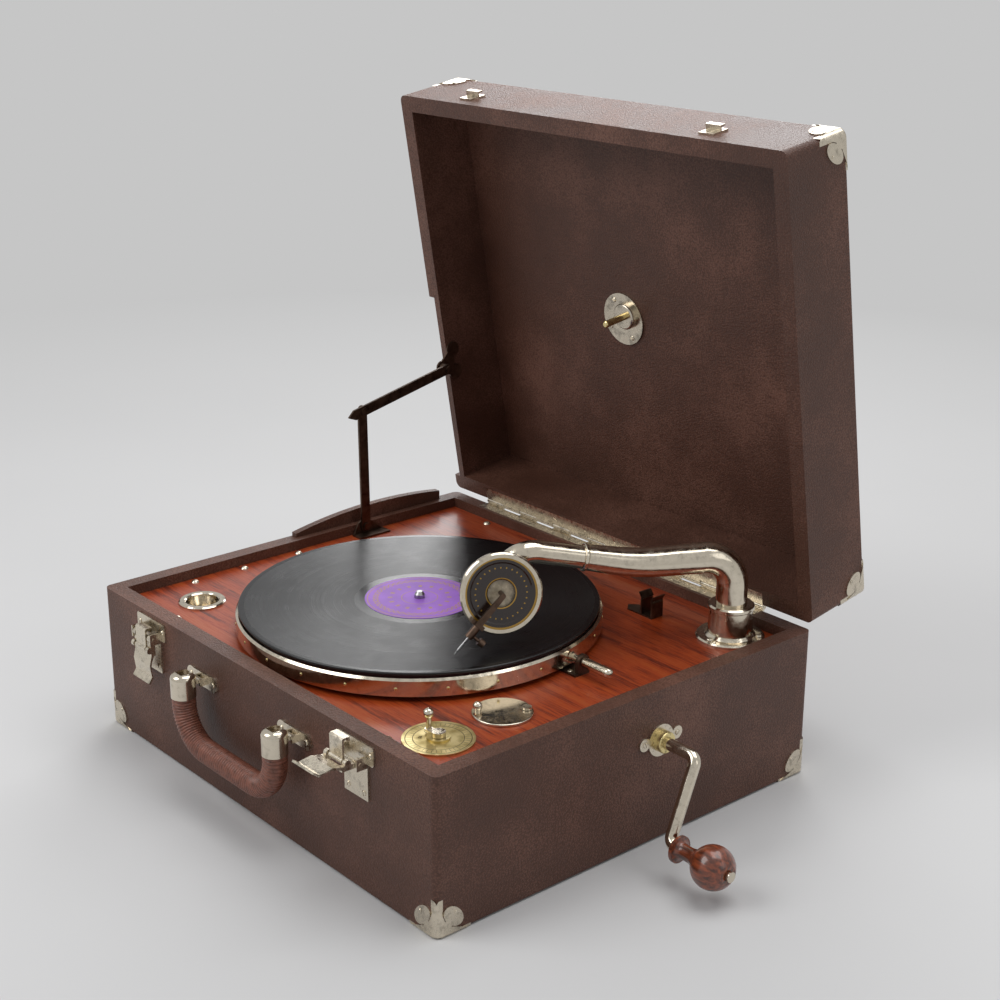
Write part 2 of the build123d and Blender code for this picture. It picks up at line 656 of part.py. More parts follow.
def gear(teeth, thickness, bore, backlash=BACKLASH):
    """A spur wheel with a tooth at direction nought, each flank drawn through three involute points."""
    pitch = GEAR_MODULE * teeth / 2
    pressure = math.radians(20)
    base = pitch * math.cos(pressure)
    root = pitch - 1.25 * GEAR_MODULE
    tip = pitch + 0.9 * GEAR_MODULE
    half_tooth = (math.pi * GEAR_MODULE / 2 - backlash) / (2 * pitch)
    rise = math.tan(pressure) - pressure
    flank = []
    for radius in (max(root, base), (max(root, base) + tip) / 2, tip):
        roll = math.acos(base / radius)
        flank.append((radius, half_tooth + rise - (math.tan(roll) - roll)))
    points = []
    for tooth in range(teeth):
        middle = 2 * math.pi * tooth / teeth
        left = [(root, flank[0][1])] + flank
        for radius, spread in left:
            points.append((radius * math.cos(middle - spread), radius * math.sin(middle - spread)))
        for radius, spread in reversed(left):
            points.append((radius * math.cos(middle + spread), radius * math.sin(middle + spread)))
    distinct = [point for number, point in enumerate(points) if math.dist(point, points[number - 1]) > 0.02]
    outline = make_face(Polyline(*distinct, close=True)) - Circle(bore)
    return extrude(outline, amount=thickness)


def mesh_distance(first_teeth, second_teeth):
    """The distance between two meshing shafts."""
    return GEAR_MODULE * (first_teeth + second_teeth) / 2 + MESH_GAP


def middle_place():
    """Where the middle shaft stands."""
    step = polar(mesh_distance(SMALL_TEETH, MIDDLE_TEETH), MIDDLE_BEARING)
    return SPINDLE_X + step[0], SPINDLE_Y + step[1]


def barrel_place():
    """Where the barrel stands, geared to the crank's line and to the middle shaft."""
    x, y = middle_place()
    barrel_y = CRANK_Y - GEAR_MODULE * WINDING_TEETH / 2 - WORM_RADIUS - WORM_GAP
    reach = mesh_distance(SMALL_TEETH, GREAT_TEETH)
    return x + math.sqrt(reach**2 - (barrel_y - y)**2), barrel_y


def barrel_bearing():
    """The direction of the barrel from the middle shaft, in degrees."""
    x, y = middle_place()
    barrel_x, barrel_y = barrel_place()
    return math.degrees(math.atan2(barrel_y - y, barrel_x - x))


def place(shape, x, y, z, turn):
    """Turns a wheel about its own axis and puts it on its shaft."""
    return Pos(x, y, z) * Rot(0, 0, turn) * shape


def spindle_pinion():
    """The small wheel that the middle wheel drives."""
    wheel = gear(SMALL_TEETH, PINION_FACE, SPINDLE_RADIUS)
    return place(wheel, SPINDLE_X, SPINDLE_Y, MIDDLE_WHEEL_Z - 1, MIDDLE_BEARING)


def spindle_worm_wheel():
    """The wheel on the spindle that drives the governor's worm."""
    wheel = gear(WORM_WHEEL_TEETH, GEAR_FACE, SPINDLE_RADIUS)
    return place(wheel, SPINDLE_X, SPINDLE_Y, GOVERNOR_Z - GEAR_FACE / 2, 0)


def middle_wheel():
    """The middle shaft's large wheel."""
    x, y = middle_place()
    wheel = gear(MIDDLE_TEETH, GEAR_FACE, SHAFT_RADIUS)
    return place(wheel, x, y, MIDDLE_WHEEL_Z, MIDDLE_BEARING + 180 + 180 / MIDDLE_TEETH)


def middle_pinion():
    """The middle shaft's small wheel, which the barrel drives."""
    x, y = middle_place()
    return place(gear(SMALL_TEETH, PINION_FACE, SHAFT_RADIUS), x, y, GREAT_WHEEL_Z - 1, barrel_bearing())


def middle_shaft():
    """The middle shaft, thinner in its two bearings."""
    x, y = middle_place()
    return disc(x, y, MOTOR_LOW, MOTOR_HIGH + MOTOR_PLATE, SHAFT_RADIUS)


def spring_barrel():
    """The drum with the great wheel round it, closed above and below."""
    x, y = barrel_place()
    wheel = gear(GREAT_TEETH, GEAR_FACE, BARREL_RADIUS - BARREL_WALL)
    drum = disc(x, y, BARREL_LOW, BARREL_HIGH, BARREL_RADIUS)
    drum -= disc(x, y, BARREL_LOW + BARREL_WALL, BARREL_HIGH - BARREL_WALL, BARREL_RADIUS - BARREL_WALL)
    drum += place(wheel, x, y, GREAT_WHEEL_Z, barrel_bearing() + 180 + 180 / GREAT_TEETH)
    return drum - disc(x, y, BARREL_LOW, BARREL_HIGH, SHAFT_RADIUS + 1 + RUNNING_GAP)


def mainspring():
    """The steel band wound in the barrel, as half rings of growing radius."""
    x, y = barrel_place()
    start = SHAFT_RADIUS + 4
    room = BARREL_RADIUS - BARREL_WALL - 1 - start
    step = room / (2 * MAINSPRING_TURNS)
    band = None
    for half in range(2 * MAINSPRING_TURNS - 1):
        radius = start + step * half
        shift = 0 if half % 2 else step
        half_ring = Pos(shift, 0) * (Circle(radius + step / 2) - Circle(radius + step / 2 - MAINSPRING_BAND))
        side = 1 if half % 2 else -1
        half_ring = half_ring & (Pos(0, side * BARREL_RADIUS) * Rectangle(4 * BARREL_RADIUS,
                                                                          2 * BARREL_RADIUS))
        band = half_ring if band is None else band + half_ring
    low = BARREL_LOW + BARREL_WALL + SEAT_GAP
    return Pos(x, y, low) * extrude(band, amount=BARREL_HIGH - BARREL_WALL - SEAT_GAP - low)


def barrel_arbor():
    """The shaft in the barrel, which the crank winds."""
    x, y = barrel_place()
    return disc(x, y, MOTOR_LOW, MOTOR_HIGH + MOTOR_PLATE, SHAFT_RADIUS + 1)


def winding_wheel():
    """The wheel on the barrel's arbor, turned by the crank's worm."""
    x, y = barrel_place()
    return place(gear(WINDING_TEETH, GEAR_FACE, SHAFT_RADIUS + 1), x, y, CRANK_Z - GEAR_FACE / 2, 0)


def winding_worm():
    """The worm shaft in line with the crank, as its core without the thread, ending in the crank's socket."""
    x, y = barrel_place()
    core = GEAR_MODULE * (WINDING_TEETH / 2 + 0.9)
    worm_radius = CRANK_Y - y - core - WORM_GAP
    end = RIGHT - WALL - 20
    worm = cross_rod(x, CRANK_Y, CRANK_Z, WORM_LENGTH, worm_radius)
    worm += rod((x - WORM_LENGTH - 4, CRANK_Y, CRANK_Z), (end, CRANK_Y, CRANK_Z), SHAFT_RADIUS)
    worm += rod((end - 12, CRANK_Y, CRANK_Z), (end + 12, CRANK_Y, CRANK_Z), CRANK_ROD + 1.8)
    return worm - rod((end, CRANK_Y, CRANK_Z), (end + 12, CRANK_Y, CRANK_Z), CRANK_ROD)


def motor_plate(z):
    """One of the motor's two plates, pierced for its shafts."""
    plate = slab(MOTOR_LEFT, MOTOR_RIGHT, MOTOR_FRONT, MOTOR_BACK, z, z + MOTOR_PLATE)
    plate = fillet(plate.edges().filter_by(Axis.Z), 8)
    middle = middle_place()
    barrel = barrel_place()
    high = z + MOTOR_PLATE
    spindle_fit = SPINDLE_RADIUS - 1 if z < MOTOR_HIGH else SPINDLE_RADIUS
    plate -= disc(SPINDLE_X, SPINDLE_Y, z, high, spindle_fit + RUNNING_GAP)
    plate -= disc(*middle, z, high, SHAFT_RADIUS + RUNNING_GAP)
    return plate - disc(*barrel, z, high, SHAFT_RADIUS + 1 + RUNNING_GAP)


def pillar_places():
    """The four corners of the motor plates."""
    left, right = MOTOR_LEFT + PILLAR_INSET, MOTOR_RIGHT - PILLAR_INSET
    front, back = MOTOR_FRONT + PILLAR_INSET, MOTOR_BACK - PILLAR_INSET
    return [(left, front), (right, front), (left, back), (right, back)]


def motor_pillars():
    """Four pillars between the plates."""
    return [disc(x, y, MOTOR_LOW + MOTOR_PLATE, MOTOR_HIGH, PILLAR_RADIUS) for x, y in pillar_places()]


def motor_mounts():
    """Four rubber washers between the motor and the board."""
    return [disc(x, y, MOTOR_HIGH + MOTOR_PLATE, BOARD_LOW, PILLAR_RADIUS + 3) for x, y in pillar_places()]


def winding_brackets():
    """Two bearing blocks for the worm shaft, under the top plate."""
    x = barrel_place()[0]
    blocks = []
    for side in (-1, 1):
        middle = x + side * (WORM_LENGTH / 2 + 4)
        block = slab(middle - 2, middle + 2, CRANK_Y - 6, CRANK_Y + 6, CRANK_Z - 6, MOTOR_HIGH)
        blocks.append(block - cross_rod(middle, CRANK_Y, CRANK_Z, WALL, SHAFT_RADIUS + RUNNING_GAP))
    return blocks


def governor_x():
    """The governor's shaft lies beside the spindle's worm wheel."""
    return SPINDLE_X - GEAR_MODULE * (WORM_WHEEL_TEETH / 2 + 0.9) - WORM_GAP - WORM_RADIUS + 1


def along(x, z, y_low, y_high, radius):
    """A round bar along Y."""
    return rod((x, y_low, z), (x, y_high, z), radius)


def governor():
    """The governor's shaft with its worm, collar and brake disc."""
    x = governor_x()
    body = along(x, GOVERNOR_Z, SPINDLE_Y - 22, BARREL_RADIUS + 4, GOVERNOR_SHAFT)
    body += along(x, GOVERNOR_Z, SPINDLE_Y - WORM_LENGTH / 2, SPINDLE_Y + WORM_LENGTH / 2, WORM_RADIUS - 1)
    body += along(x, GOVERNOR_Z, SPINDLE_Y + WORM_LENGTH / 2 + 4, SPINDLE_Y + WORM_LENGTH / 2 + 8, 5)
    body += along(x, GOVERNOR_Z, 18, 22, 5)
    return body + along(x, GOVERNOR_Z, 20.5, 22, GOVERNOR_DISC)


def governor_weights():
    """Lead weights on leaf springs, bowed out round the shaft."""
    x = governor_x()
    start = SPINDLE_Y + WORM_LENGTH / 2 + 6
    middle = (start + 20) / 2
    weights = []
    for number in range(GOVERNOR_WEIGHTS):
        spring = slab(x - 2, x + 2, start - 2, 20, GOVERNOR_Z + 5, GOVERNOR_Z + 5.6)
        weight = slab(x - 3, x + 3, middle - 3.5, middle + 3.5, GOVERNOR_Z + 5.6, GOVERNOR_Z + 10.5)
        weight = fillet(weight.edges().filter_by(Axis.Y), 2)
        weights.append((spring + weight).rotate(Axis((x, 0, GOVERNOR_Z), (0, 1, 0)),
                                                360 * number / GOVERNOR_WEIGHTS))
    return weights


def governor_cocks():
    """Two posts that carry the governor's shaft."""
    x = governor_x()
    posts = []
    for y in (SPINDLE_Y - 19, BARREL_RADIUS + 1):
        post = slab(x - 4, x + 4, y - 1.5, y + 1.5, MOTOR_LOW + MOTOR_PLATE, GOVERNOR_Z + 5)
        posts.append(post - along(x, GOVERNOR_Z, y - 3, y + 3, GOVERNOR_SHAFT + RUNNING_GAP))
    return posts


def speed_arm():
    """The lever whose pad rubs on the governor's disc, hung from a stud in the top plate."""
    x = governor_x()
    y = 24.0
    stud_x = x + 34
    bar = slab(x + 6, stud_x, y, y + 5, MOTOR_HIGH - 4, MOTOR_HIGH - 2)
    drop = slab(x + 6, x + 11, y, y + 2, GOVERNOR_Z - 3, MOTOR_HIGH - 2)
    eye = disc(stud_x, y + 2.5, MOTOR_HIGH - 4, MOTOR_HIGH - 2, 5)
    return bar + drop + eye - disc(stud_x, y + 2.5, MOTOR_HIGH - 4, MOTOR_HIGH - 2,
                                   SHAFT_RADIUS + RUNNING_GAP)


def speed_arm_stud():
    """The stud with a head that the speed arm turns on."""
    x = governor_x() + 34
    stud = disc(x, 26.5, MOTOR_HIGH - 4.4, MOTOR_HIGH, SHAFT_RADIUS)
    return stud + disc(x, 26.5, MOTOR_HIGH - 6, MOTOR_HIGH - 4.4, SHAFT_RADIUS + 1.5)


def arm_point(along_arm, height):
    """A point in the tone arm's upright plane, from its pivot."""
    heading = math.radians(ARM_HEADING)
    return Vector(ARM_X - along_arm * math.cos(heading), ARM_Y - along_arm * math.sin(heading), height)


def arm_direction(slope):
    """A direction in the tone arm's plane, sloping up by so many degrees."""
    rise = math.radians(slope)
    return arm_point(math.cos(rise), math.sin(rise)) - arm_point(0, 0)


def arm_stations():
    """Points, slopes and radii along the arm after its bend: a run, a gentle curve and a last run."""
    slope = -ARM_DIP
    along_arm = ARM_BEND
    height = ARM_RISE
    total = ARM_FIRST_RUN + math.radians(ARM_DIP + ARM_CLIMB) * ARM_SWEEP + ARM_LAST_RUN
    done = 0.0
    stations = [(along_arm, height, 0.0, ARM_TUBE)]
    curve_steps = 3
    steps = [(ARM_FIRST_RUN / 2, 0.0)] * 2
    turn = (ARM_DIP + ARM_CLIMB) / curve_steps
    steps += [(math.radians(turn) * ARM_SWEEP, turn)] * curve_steps
    steps += [(ARM_LAST_RUN / 2, 0.0)] * 2
    for length, climb in steps:
        middle = math.radians(slope + climb / 2)
        along_arm += length * math.cos(middle)
        height += length * math.sin(middle)
        slope += climb
        done += length
        share = done / total
        radius = ARM_TUBE + (ARM_END - ARM_TUBE) * (0.55 * share + 0.45 * share**3)
        stations.append((along_arm, height, slope, radius))
    return stations


def arm_block(inset):
    """The tone arm's outside (inset nought) or the air inside it."""
    low = BOARD_TOP + FLANGE_THICK + 2
    corner = ARM_RISE - ARM_BEND
    post = rod((ARM_X, ARM_Y, low - inset), (ARM_X, ARM_Y, corner), ARM_TUBE - inset)
    bend_axis = Axis(arm_point(ARM_BEND, corner), Vector(0, 0, 1).cross(arm_direction(0)))
    circle = Plane(origin=(ARM_X, ARM_Y, corner), z_dir=(0, 0, 1)) * Circle(ARM_TUBE - inset)
    bend = revolve(circle, bend_axis, 90)
    faces = []
    for along_arm, height, slope, radius in arm_stations():
        plane = Plane(origin=arm_point(along_arm, height), z_dir=arm_direction(slope))
        faces.append(plane * Circle(radius - inset))
    return post + bend + loft(faces)


def tonearm():
    """The swinging tube: a post in the foot's sleeve, a bend, and a tapered run with a gentle rise."""
    return arm_block(0) - arm_block(ARM_SHEET)


def arm_end():
    """The end of the arm's middle line, and its radius there."""
    along_arm, height, slope, radius = arm_stations()[-1]
    return arm_point(along_arm, height), radius


def tonearm_foot():
    """The flange on the board and the sleeve that the arm turns in."""
    low = BOARD_TOP
    top = SLEEVE_TOP
    bore = ARM_TUBE + 0.1
    profile = Polyline((HORN_PIPE, low), (FLANGE_RADIUS, low), (FLANGE_RADIUS, low + FLANGE_THICK - 1),
                       (FLANGE_RADIUS - 1, low + FLANGE_THICK), (SLEEVE_FOOT + 2, low + FLANGE_THICK),
                       (SLEEVE_FOOT, low + FLANGE_THICK + 2), (SLEEVE_NECK, top - 4),
                       (SLEEVE_NECK + SLEEVE_LIP, top - 3),
                       (SLEEVE_NECK + SLEEVE_LIP, top - 1), (SLEEVE_NECK, top), (bore, top), (bore, top - 6),
                       (HORN_PIPE, top - 7), close=True)
    return turned(profile, ARM_X, ARM_Y)


def foot_screws():
    """Three round-headed screws through the flange."""
    heads = []
    for turn in (-90, 30, 150):
        x, y = polar((FLANGE_RADIUS + SLEEVE_FOOT) / 2 + 0.5, turn)
        low = BOARD_TOP + FLANGE_THICK
        head = Pos(ARM_X + x, ARM_Y + y, low) * Sphere(2.4)
        heads.append(head & disc(ARM_X + x, ARM_Y + y, low, low + 1.6, 3))
    return heads


def arc_end(start, direction, radius, towards, degrees):
    """The end and end direction of an arc that leaves start and bends towards another direction."""
    turn = math.radians(degrees)
    side = (towards - direction * towards.dot(direction)).normalized()
    end = start + direction * (radius * math.sin(turn)) + side * (radius * (1 - math.cos(turn)))
    return end, direction * math.cos(turn) + side * math.sin(turn), side


def bent_tube(start, direction, bend_radius, towards, degrees, tube_radius):
    """A round bar bent through an arc."""
    side = arc_end(start, direction, bend_radius, towards, degrees)[2]
    circle = Plane(origin=start, z_dir=direction) * Circle(tube_radius)
    axis = Axis(start + side * bend_radius, direction.cross(side))
    return revolve(circle, axis, degrees)


def face_normal():
    """The way the soundbox faces: square to the arm in the plan, and a little up."""
    heading = math.radians(ARM_HEADING)
    tilt = math.radians(FACE_TILT)
    level = Vector(math.sin(heading), -math.cos(heading), 0)
    return level * math.cos(tilt) + Vector(0, 0, math.sin(tilt))


def neck_block(inset):
    """The gooseneck's outside (inset nought) or the air inside it, from its spigot to the soundbox."""
    radius = NECK_RADIUS - inset
    end, end_radius = arm_end()
    heading = arm_direction(ARM_CLIMB)
    spigot_start = end - heading * (NECK_SPIGOT - inset)
    run_end = end + heading * NECK_RUN
    spigot = rod(spigot_start, end + heading * SEAT_GAP, end_radius - ARM_SHEET - 0.1 - inset)
    run = rod(end + heading * (SEAT_GAP - inset), run_end, radius)
    first_turn = ARM_CLIMB + NECK_DROP
    down = arm_direction(-NECK_DROP)
    first = bent_tube(run_end, heading, NECK_TOP_BEND, down, first_turn, radius)
    corner, corner_direction, _ = arc_end(run_end, heading, NECK_TOP_BEND, down, first_turn)
    normal = face_normal()
    second_turn = math.degrees(math.acos(corner_direction.dot(normal)))
    second = bent_tube(corner, corner_direction, NECK_SIDE_BEND, normal, second_turn, radius)
    back = arc_end(corner, corner_direction, NECK_SIDE_BEND, normal, second_turn)[0]
    stub = rod(back, back + normal * (BOX_BOSS / 2 + inset), radius)
    return spigot + run + first + second + stub, back


def gooseneck():
    """The bent tube between arm and soundbox."""
    return neck_block(0)[0] - neck_block(ARM_SHEET)[0]


def gooseneck_collar():
    """The ring where the gooseneck leaves the arm."""
    end = arm_end()[0]
    heading = arm_direction(ARM_CLIMB)
    start = end + heading * (SEAT_GAP + 0.1)
    ring = rod(start, start + heading * COLLAR_WIDTH, COLLAR_RADIUS)
    ring = fillet(ring.edges(), 0.6)
    return ring - rod(start, start + heading * COLLAR_WIDTH, NECK_RADIUS)


def face_plane():
    """The soundbox's own frame: origin in the middle of its face, X down the needle, Z out of the face."""
    back = neck_block(0)[1]
    normal = face_normal()
    up = normal.cross(arm_direction(0))
    turn = math.radians(NEEDLE_TURN)
    origin = back + normal * (BOX_BOSS + BOX_DEPTH)
    along_needle = arm_direction(0) * math.cos(turn) - up * math.sin(turn)
    if along_needle.Z > 0:
        along_needle = arm_direction(0) * math.cos(turn) + up * math.sin(turn)
    return Plane(origin=origin, x_dir=along_needle, z_dir=normal)


def on_face(shape):
    """Puts something made in the soundbox's own frame into its place."""
    return face_plane().location * shape


def soundbox_body():
    """The cup with its rounded rim and the boss at its back."""
    deep = -BOX_DEPTH
    profile = Polyline((NECK_RADIUS, deep - BOX_BOSS / 2), (BOX_BOSS_RADIUS, deep - BOX_BOSS / 2),
                       (BOX_BOSS_RADIUS, deep),
                       (BOX_RADIUS - 5, deep), (BOX_RADIUS - 1.5, deep + 3), (BOX_RADIUS - 1.5, -5),
                       (BOX_RADIUS, -4),
                       (BOX_RADIUS, -1), (BOX_RADIUS - 1, 0), (FACE_RING, 0), (FACE_RING, -4.4),
                       (FACE_RING - 2, -4.4),
                       (FACE_RING - 2, deep + 2), (NECK_RADIUS - ARM_SHEET, deep + 2),
                       (NECK_RADIUS - ARM_SHEET, deep),
                       (NECK_RADIUS, deep), close=True)
    return on_face(turned(profile))


def soundbox_diaphragm():
    """The thin plate whose shaking makes the sound."""
    return on_face(disc(0, 0, -4.4, -4.4 + DIAPHRAGM, FACE_RING))


def soundbox_face():
    """The guard ring over the diaphragm, stepped down to its middle hole."""
    high = -1.0
    low = -2.4
    profile = Polyline((FACE_HOLE, low), (FACE_RING, low), (FACE_RING, high), (FACE_RING - 3, high),
                       (FACE_RING - 4, high - 0.6),
                       (FACE_HOLE + 1, high - 0.6), (FACE_HOLE, high - 0.9), close=True)
    return on_face(turned(profile))


def soundbox_gasket():
    """The rubber ring between diaphragm and guard ring."""
    low = -4.4 + DIAPHRAGM
    return on_face(disc(0, 0, low, -2.4, FACE_RING) - disc(0, 0, low, -2.4, FACE_RING - 3))


def needle_bar():
    """The lever from the diaphragm's middle over the rim to the needle's socket."""
    stand = NEEDLE_STAND
    outline = Polyline((0, -1.6), (BOX_RADIUS - 2, -2.2), (BOX_RADIUS + 2, -2.2), (BOX_RADIUS + 2, 2.2),
                       (BOX_RADIUS - 2, 2.2), (0, 1.6), close=True)
    bar = extrude(Pos(0, 0, stand - 1.2) * make_face(outline), amount=2.4)
    bar += disc(0, 0, -4.4 + DIAPHRAGM, stand + 1.2, 1.6)
    bar += rod((BOX_RADIUS - 1, 0, stand), (SOCKET_END, 0, stand), SOCKET_RADIUS)
    bar += slab(BOX_RADIUS - 3.6, BOX_RADIUS - 0.8, -5, 5, 0, stand - 1.2)
    return on_face(bar - rod((NEEDLE_REACH - NEEDLE_LENGTH, 0, stand), (SOCKET_END, 0, stand), NEEDLE_RADIUS))


def needle_screw():
    """The thumb screw that holds the needle, square to the socket."""
    x = SOCKET_END - 2.5
    shank = rod((x, SOCKET_RADIUS - 0.5, NEEDLE_STAND), (x, SOCKET_RADIUS + 5, NEEDLE_STAND), 1.1)
    head = rod((x, SOCKET_RADIUS + 4, NEEDLE_STAND), (x, SOCKET_RADIUS + 8, NEEDLE_STAND), 2.6)
    shank -= rod((x, 0, NEEDLE_STAND), (x, SOCKET_RADIUS - 0.2, NEEDLE_STAND), 2)
    return on_face(shank + head)


def needle():
    """The steel needle, coned to its tip."""
    start = NEEDLE_REACH - NEEDLE_LENGTH
    shoulder = NEEDLE_REACH - 4
    profile = Polyline((0, start), (NEEDLE_RADIUS, start), (NEEDLE_RADIUS, shoulder), (0.15, NEEDLE_REACH),
                       (0, NEEDLE_REACH), close=True)
    upright = turned(profile)
    return on_face(Pos(0, 0, NEEDLE_STAND) * Rot(0, 90, 0) * upright)


def table_rim_x(y):
    """Where the turntable's rim stands on its right side, at some Y."""
    return SPINDLE_X + math.sqrt(TABLE_RADIUS**2 - (y - SPINDLE_Y)**2)


def brake_bracket():
    """The foot plate and the lug that guides the brake's rod."""
    plate = slab(BRAKE_LUG_X - 20, BRAKE_LUG_X + 3, BRAKE_Y - 8, BRAKE_Y + 5, BOARD_TOP, BOARD_TOP + 1.5)
    lug = slab(BRAKE_LUG_X, BRAKE_LUG_X + 3, BRAKE_Y - 5, BRAKE_Y + 5, BOARD_TOP + 1.5, BRAKE_Z)
    lug += rod((BRAKE_LUG_X, BRAKE_Y, BRAKE_Z), (BRAKE_LUG_X + 3, BRAKE_Y, BRAKE_Z), 5)
    return plate + lug - cross_rod(BRAKE_LUG_X, BRAKE_Y, BRAKE_Z, WALL, BRAKE_ROD + RUNNING_GAP)


def brake_rod():
    """The sliding rod with its thicker grip, rounded at the end."""
    start = table_rim_x(BRAKE_Y - 3.5) + SEAT_GAP + 2
    grip_start = BRAKE_LUG_X + 3 + 0.4
    thin = rod((start, BRAKE_Y, BRAKE_Z), (grip_start, BRAKE_Y, BRAKE_Z), BRAKE_ROD)
    grip = rod((grip_start, BRAKE_Y, BRAKE_Z), (BRAKE_END_X - BRAKE_GRIP, BRAKE_Y, BRAKE_Z), BRAKE_GRIP)
    return thin + grip + Pos(BRAKE_END_X - BRAKE_GRIP, BRAKE_Y, BRAKE_Z) * Sphere(BRAKE_GRIP)


def brake_pad():
    """The leather pad at the rod's end, beside the turntable's rim."""
    start = table_rim_x(BRAKE_Y - 3.5) + SEAT_GAP
    return rod((start, BRAKE_Y, BRAKE_Z), (start + 2, BRAKE_Y, BRAKE_Z), 3.5)


def speed_dial():
    """The brass dial plate with its raised hub."""
    high = BOARD_TOP + DIAL_THICK
    dial = disc(DIAL_X, DIAL_Y, BOARD_TOP, high, DIAL_RADIUS) + disc(DIAL_X, DIAL_Y, high, high + 1.2, 7.3)
    return dial - disc(DIAL_X, DIAL_Y, BOARD_TOP, high + 1.2, SHAFT_RADIUS + RUNNING_GAP)


def speed_lever():
    """The regulating lever: a shaft through the dial, a short arm and a post with a ball."""
    low = BOARD_TOP + DIAL_THICK + 1.2 + SEAT_GAP
    lever = disc(DIAL_X, DIAL_Y, BOARD_LOW - 6, low + 3, SHAFT_RADIUS)
    lever += slab(DIAL_X - LEVER_REACH, DIAL_X, DIAL_Y - 2.5, DIAL_Y + 2.5, low, low + 1.4)
    lever += disc(DIAL_X, DIAL_Y, low, low + 3, 4.4)
    x = DIAL_X - LEVER_REACH
    lever += disc(x, DIAL_Y, low, low + 10, 1.8)
    lever += disc(x, DIAL_Y, low, low + 1.4, 2.5)
    return lever + Pos(x, DIAL_Y, low + 11.5) * Sphere(3.3)


def cup(x, y, bore, depth):
    """A pressed cup with a round floor, let into the board."""
    low = BOARD_TOP - depth
    wall = 1.0
    profile = Polyline((0, low), (bore - 4, low), (bore + wall, low + 6), (bore + wall, BOARD_TOP),
                       (bore, BOARD_TOP),
                       (bore, low + 6.4), (bore - 4.4, low + wall), (0, low + wall), close=True)
    return turned(profile, x, y)


def needle_cup_ring():
    """The flat ring round the cup for used needles."""
    profile = Polyline((NEEDLE_CUP_HOLE, BOARD_TOP), (NEEDLE_CUP_RADIUS, BOARD_TOP),
                       (NEEDLE_CUP_RADIUS, BOARD_TOP + 1),
                       (NEEDLE_CUP_RADIUS - 1, BOARD_TOP + 1.8), (NEEDLE_CUP_HOLE + 1, BOARD_TOP + 1.8),
                       (NEEDLE_CUP_HOLE, BOARD_TOP + 1), close=True)
    return turned(profile, NEEDLE_CUP_X, NEEDLE_CUP_Y)


def box_pivot():
    """Where the needle box's lid is screwed down."""
    x, y = polar(BOX_PIVOT_REACH, BOX_PIVOT_TURN)
    return BOX_X + x, BOX_Y + y


def needle_box_lid():
    """The round lid that swings aside on its screw, with a ball to push it by."""
    low = BOARD_TOP + SEAT_GAP
    lid = disc(BOX_X, BOX_Y, low, low + 1.6, BOX_LID_RADIUS)
    lid = fillet(lid.faces().sort_by(Axis.Z)[-1].edges(), 0.7)
    knob_x, knob_y = polar(BOX_PIVOT_REACH, BOX_PIVOT_TURN + 170)
    lid += disc(BOX_X + knob_x, BOX_Y + knob_y, low + 1, low + 3, 2)
    lid += Pos(BOX_X + knob_x, BOX_Y + knob_y, low + 5) * Sphere(3)
    return lid - disc(*box_pivot(), low, low + 2, SPINDLE_RADIUS / 2 + RUNNING_GAP)


def needle_box_screw():
    """The shouldered screw that the lid turns on."""
    low = BOARD_TOP
    x, y = box_pivot()
    neck = disc(x, y, low, low + 2.2, SPINDLE_RADIUS / 2)
    return neck + disc(x, y, low + 2.2, low + 3.6, 3.2)


def crank_clip():
    """The spring clip that holds the crank for carrying: a strip and two prongs with curled tops."""
    sheet = CLIP_SHEET
    left = CLIP_X + CLIP_LENGTH - CLIP_GAP - 2 * sheet
    right = CLIP_X + CLIP_LENGTH
    high = BOARD_TOP + CLIP_HEIGHT
    strip = slab(CLIP_X + 5, right, CLIP_Y - CLIP_WIDTH / 2, CLIP_Y + CLIP_WIDTH / 2, BOARD_TOP,
                 BOARD_TOP + sheet)
    point = Polyline((CLIP_X, CLIP_Y), (CLIP_X + 5, CLIP_Y - CLIP_WIDTH / 2),
                     (CLIP_X + 5, CLIP_Y + CLIP_WIDTH / 2), close=True)
    strip += extrude(Pos(0, 0, BOARD_TOP) * make_face(point), amount=sheet)
    for x, way in ((left, -1), (right - sheet, 1)):
        inner = x + sheet if way < 0 else x
        profile = Polyline((inner, BOARD_TOP), (inner, high - 5), (inner - way, high - 4),
                           (inner + way * 2, high),
                           (inner + way * (2 + sheet), high), (inner + way * sheet - way * 0.4, high - 4),
                           (inner + way * sheet, high - 5.4), (inner + way * sheet, BOARD_TOP), close=True)
        plane = Plane(origin=(0, CLIP_Y + CLIP_WIDTH / 2, 0), x_dir=(1, 0, 0), z_dir=(0, -1, 0))
        strip += extrude(plane * make_face(profile), amount=CLIP_WIDTH)
    return strip


def latch_middles():
    """The two places along the front."""
    return FITTINGS_X - LATCH_SPACING / 2, FITTINGS_X + LATCH_SPACING / 2


def latch_plates():
    """Two stepped plates, each with two cheeks for its lever's pin."""
    plates = []
    back = FRONT - LATCH_PLATE
    for middle in latch_middles():
        wide, narrow = LATCH_WIDE / 2, LATCH_NARROW / 2
        plate = slab(middle - wide, middle + wide, back, FRONT, LATCH_SHOULDER, LATCH_TOP)
        plate = fillet(plate.edges().filter_by(Axis.Y), 2)
        plate += slab(middle - narrow, middle + narrow, back, FRONT, LATCH_LOW, LATCH_SHOULDER + 3)
        for side in (-1, 1):
            cheek_x = middle + side * (LATCH_LEVER_WIDTH / 2 + 1)
            cheek = slab(cheek_x - 0.6, cheek_x + 0.6, FRONT - LATCH_PIVOT_OUT - 3, back + 0.2,
                         LATCH_PIVOT_Z - 4, LATCH_PIVOT_Z + 4)
            plate += cheek
        plates.append(plate - latch_pin(middle))
    return plates


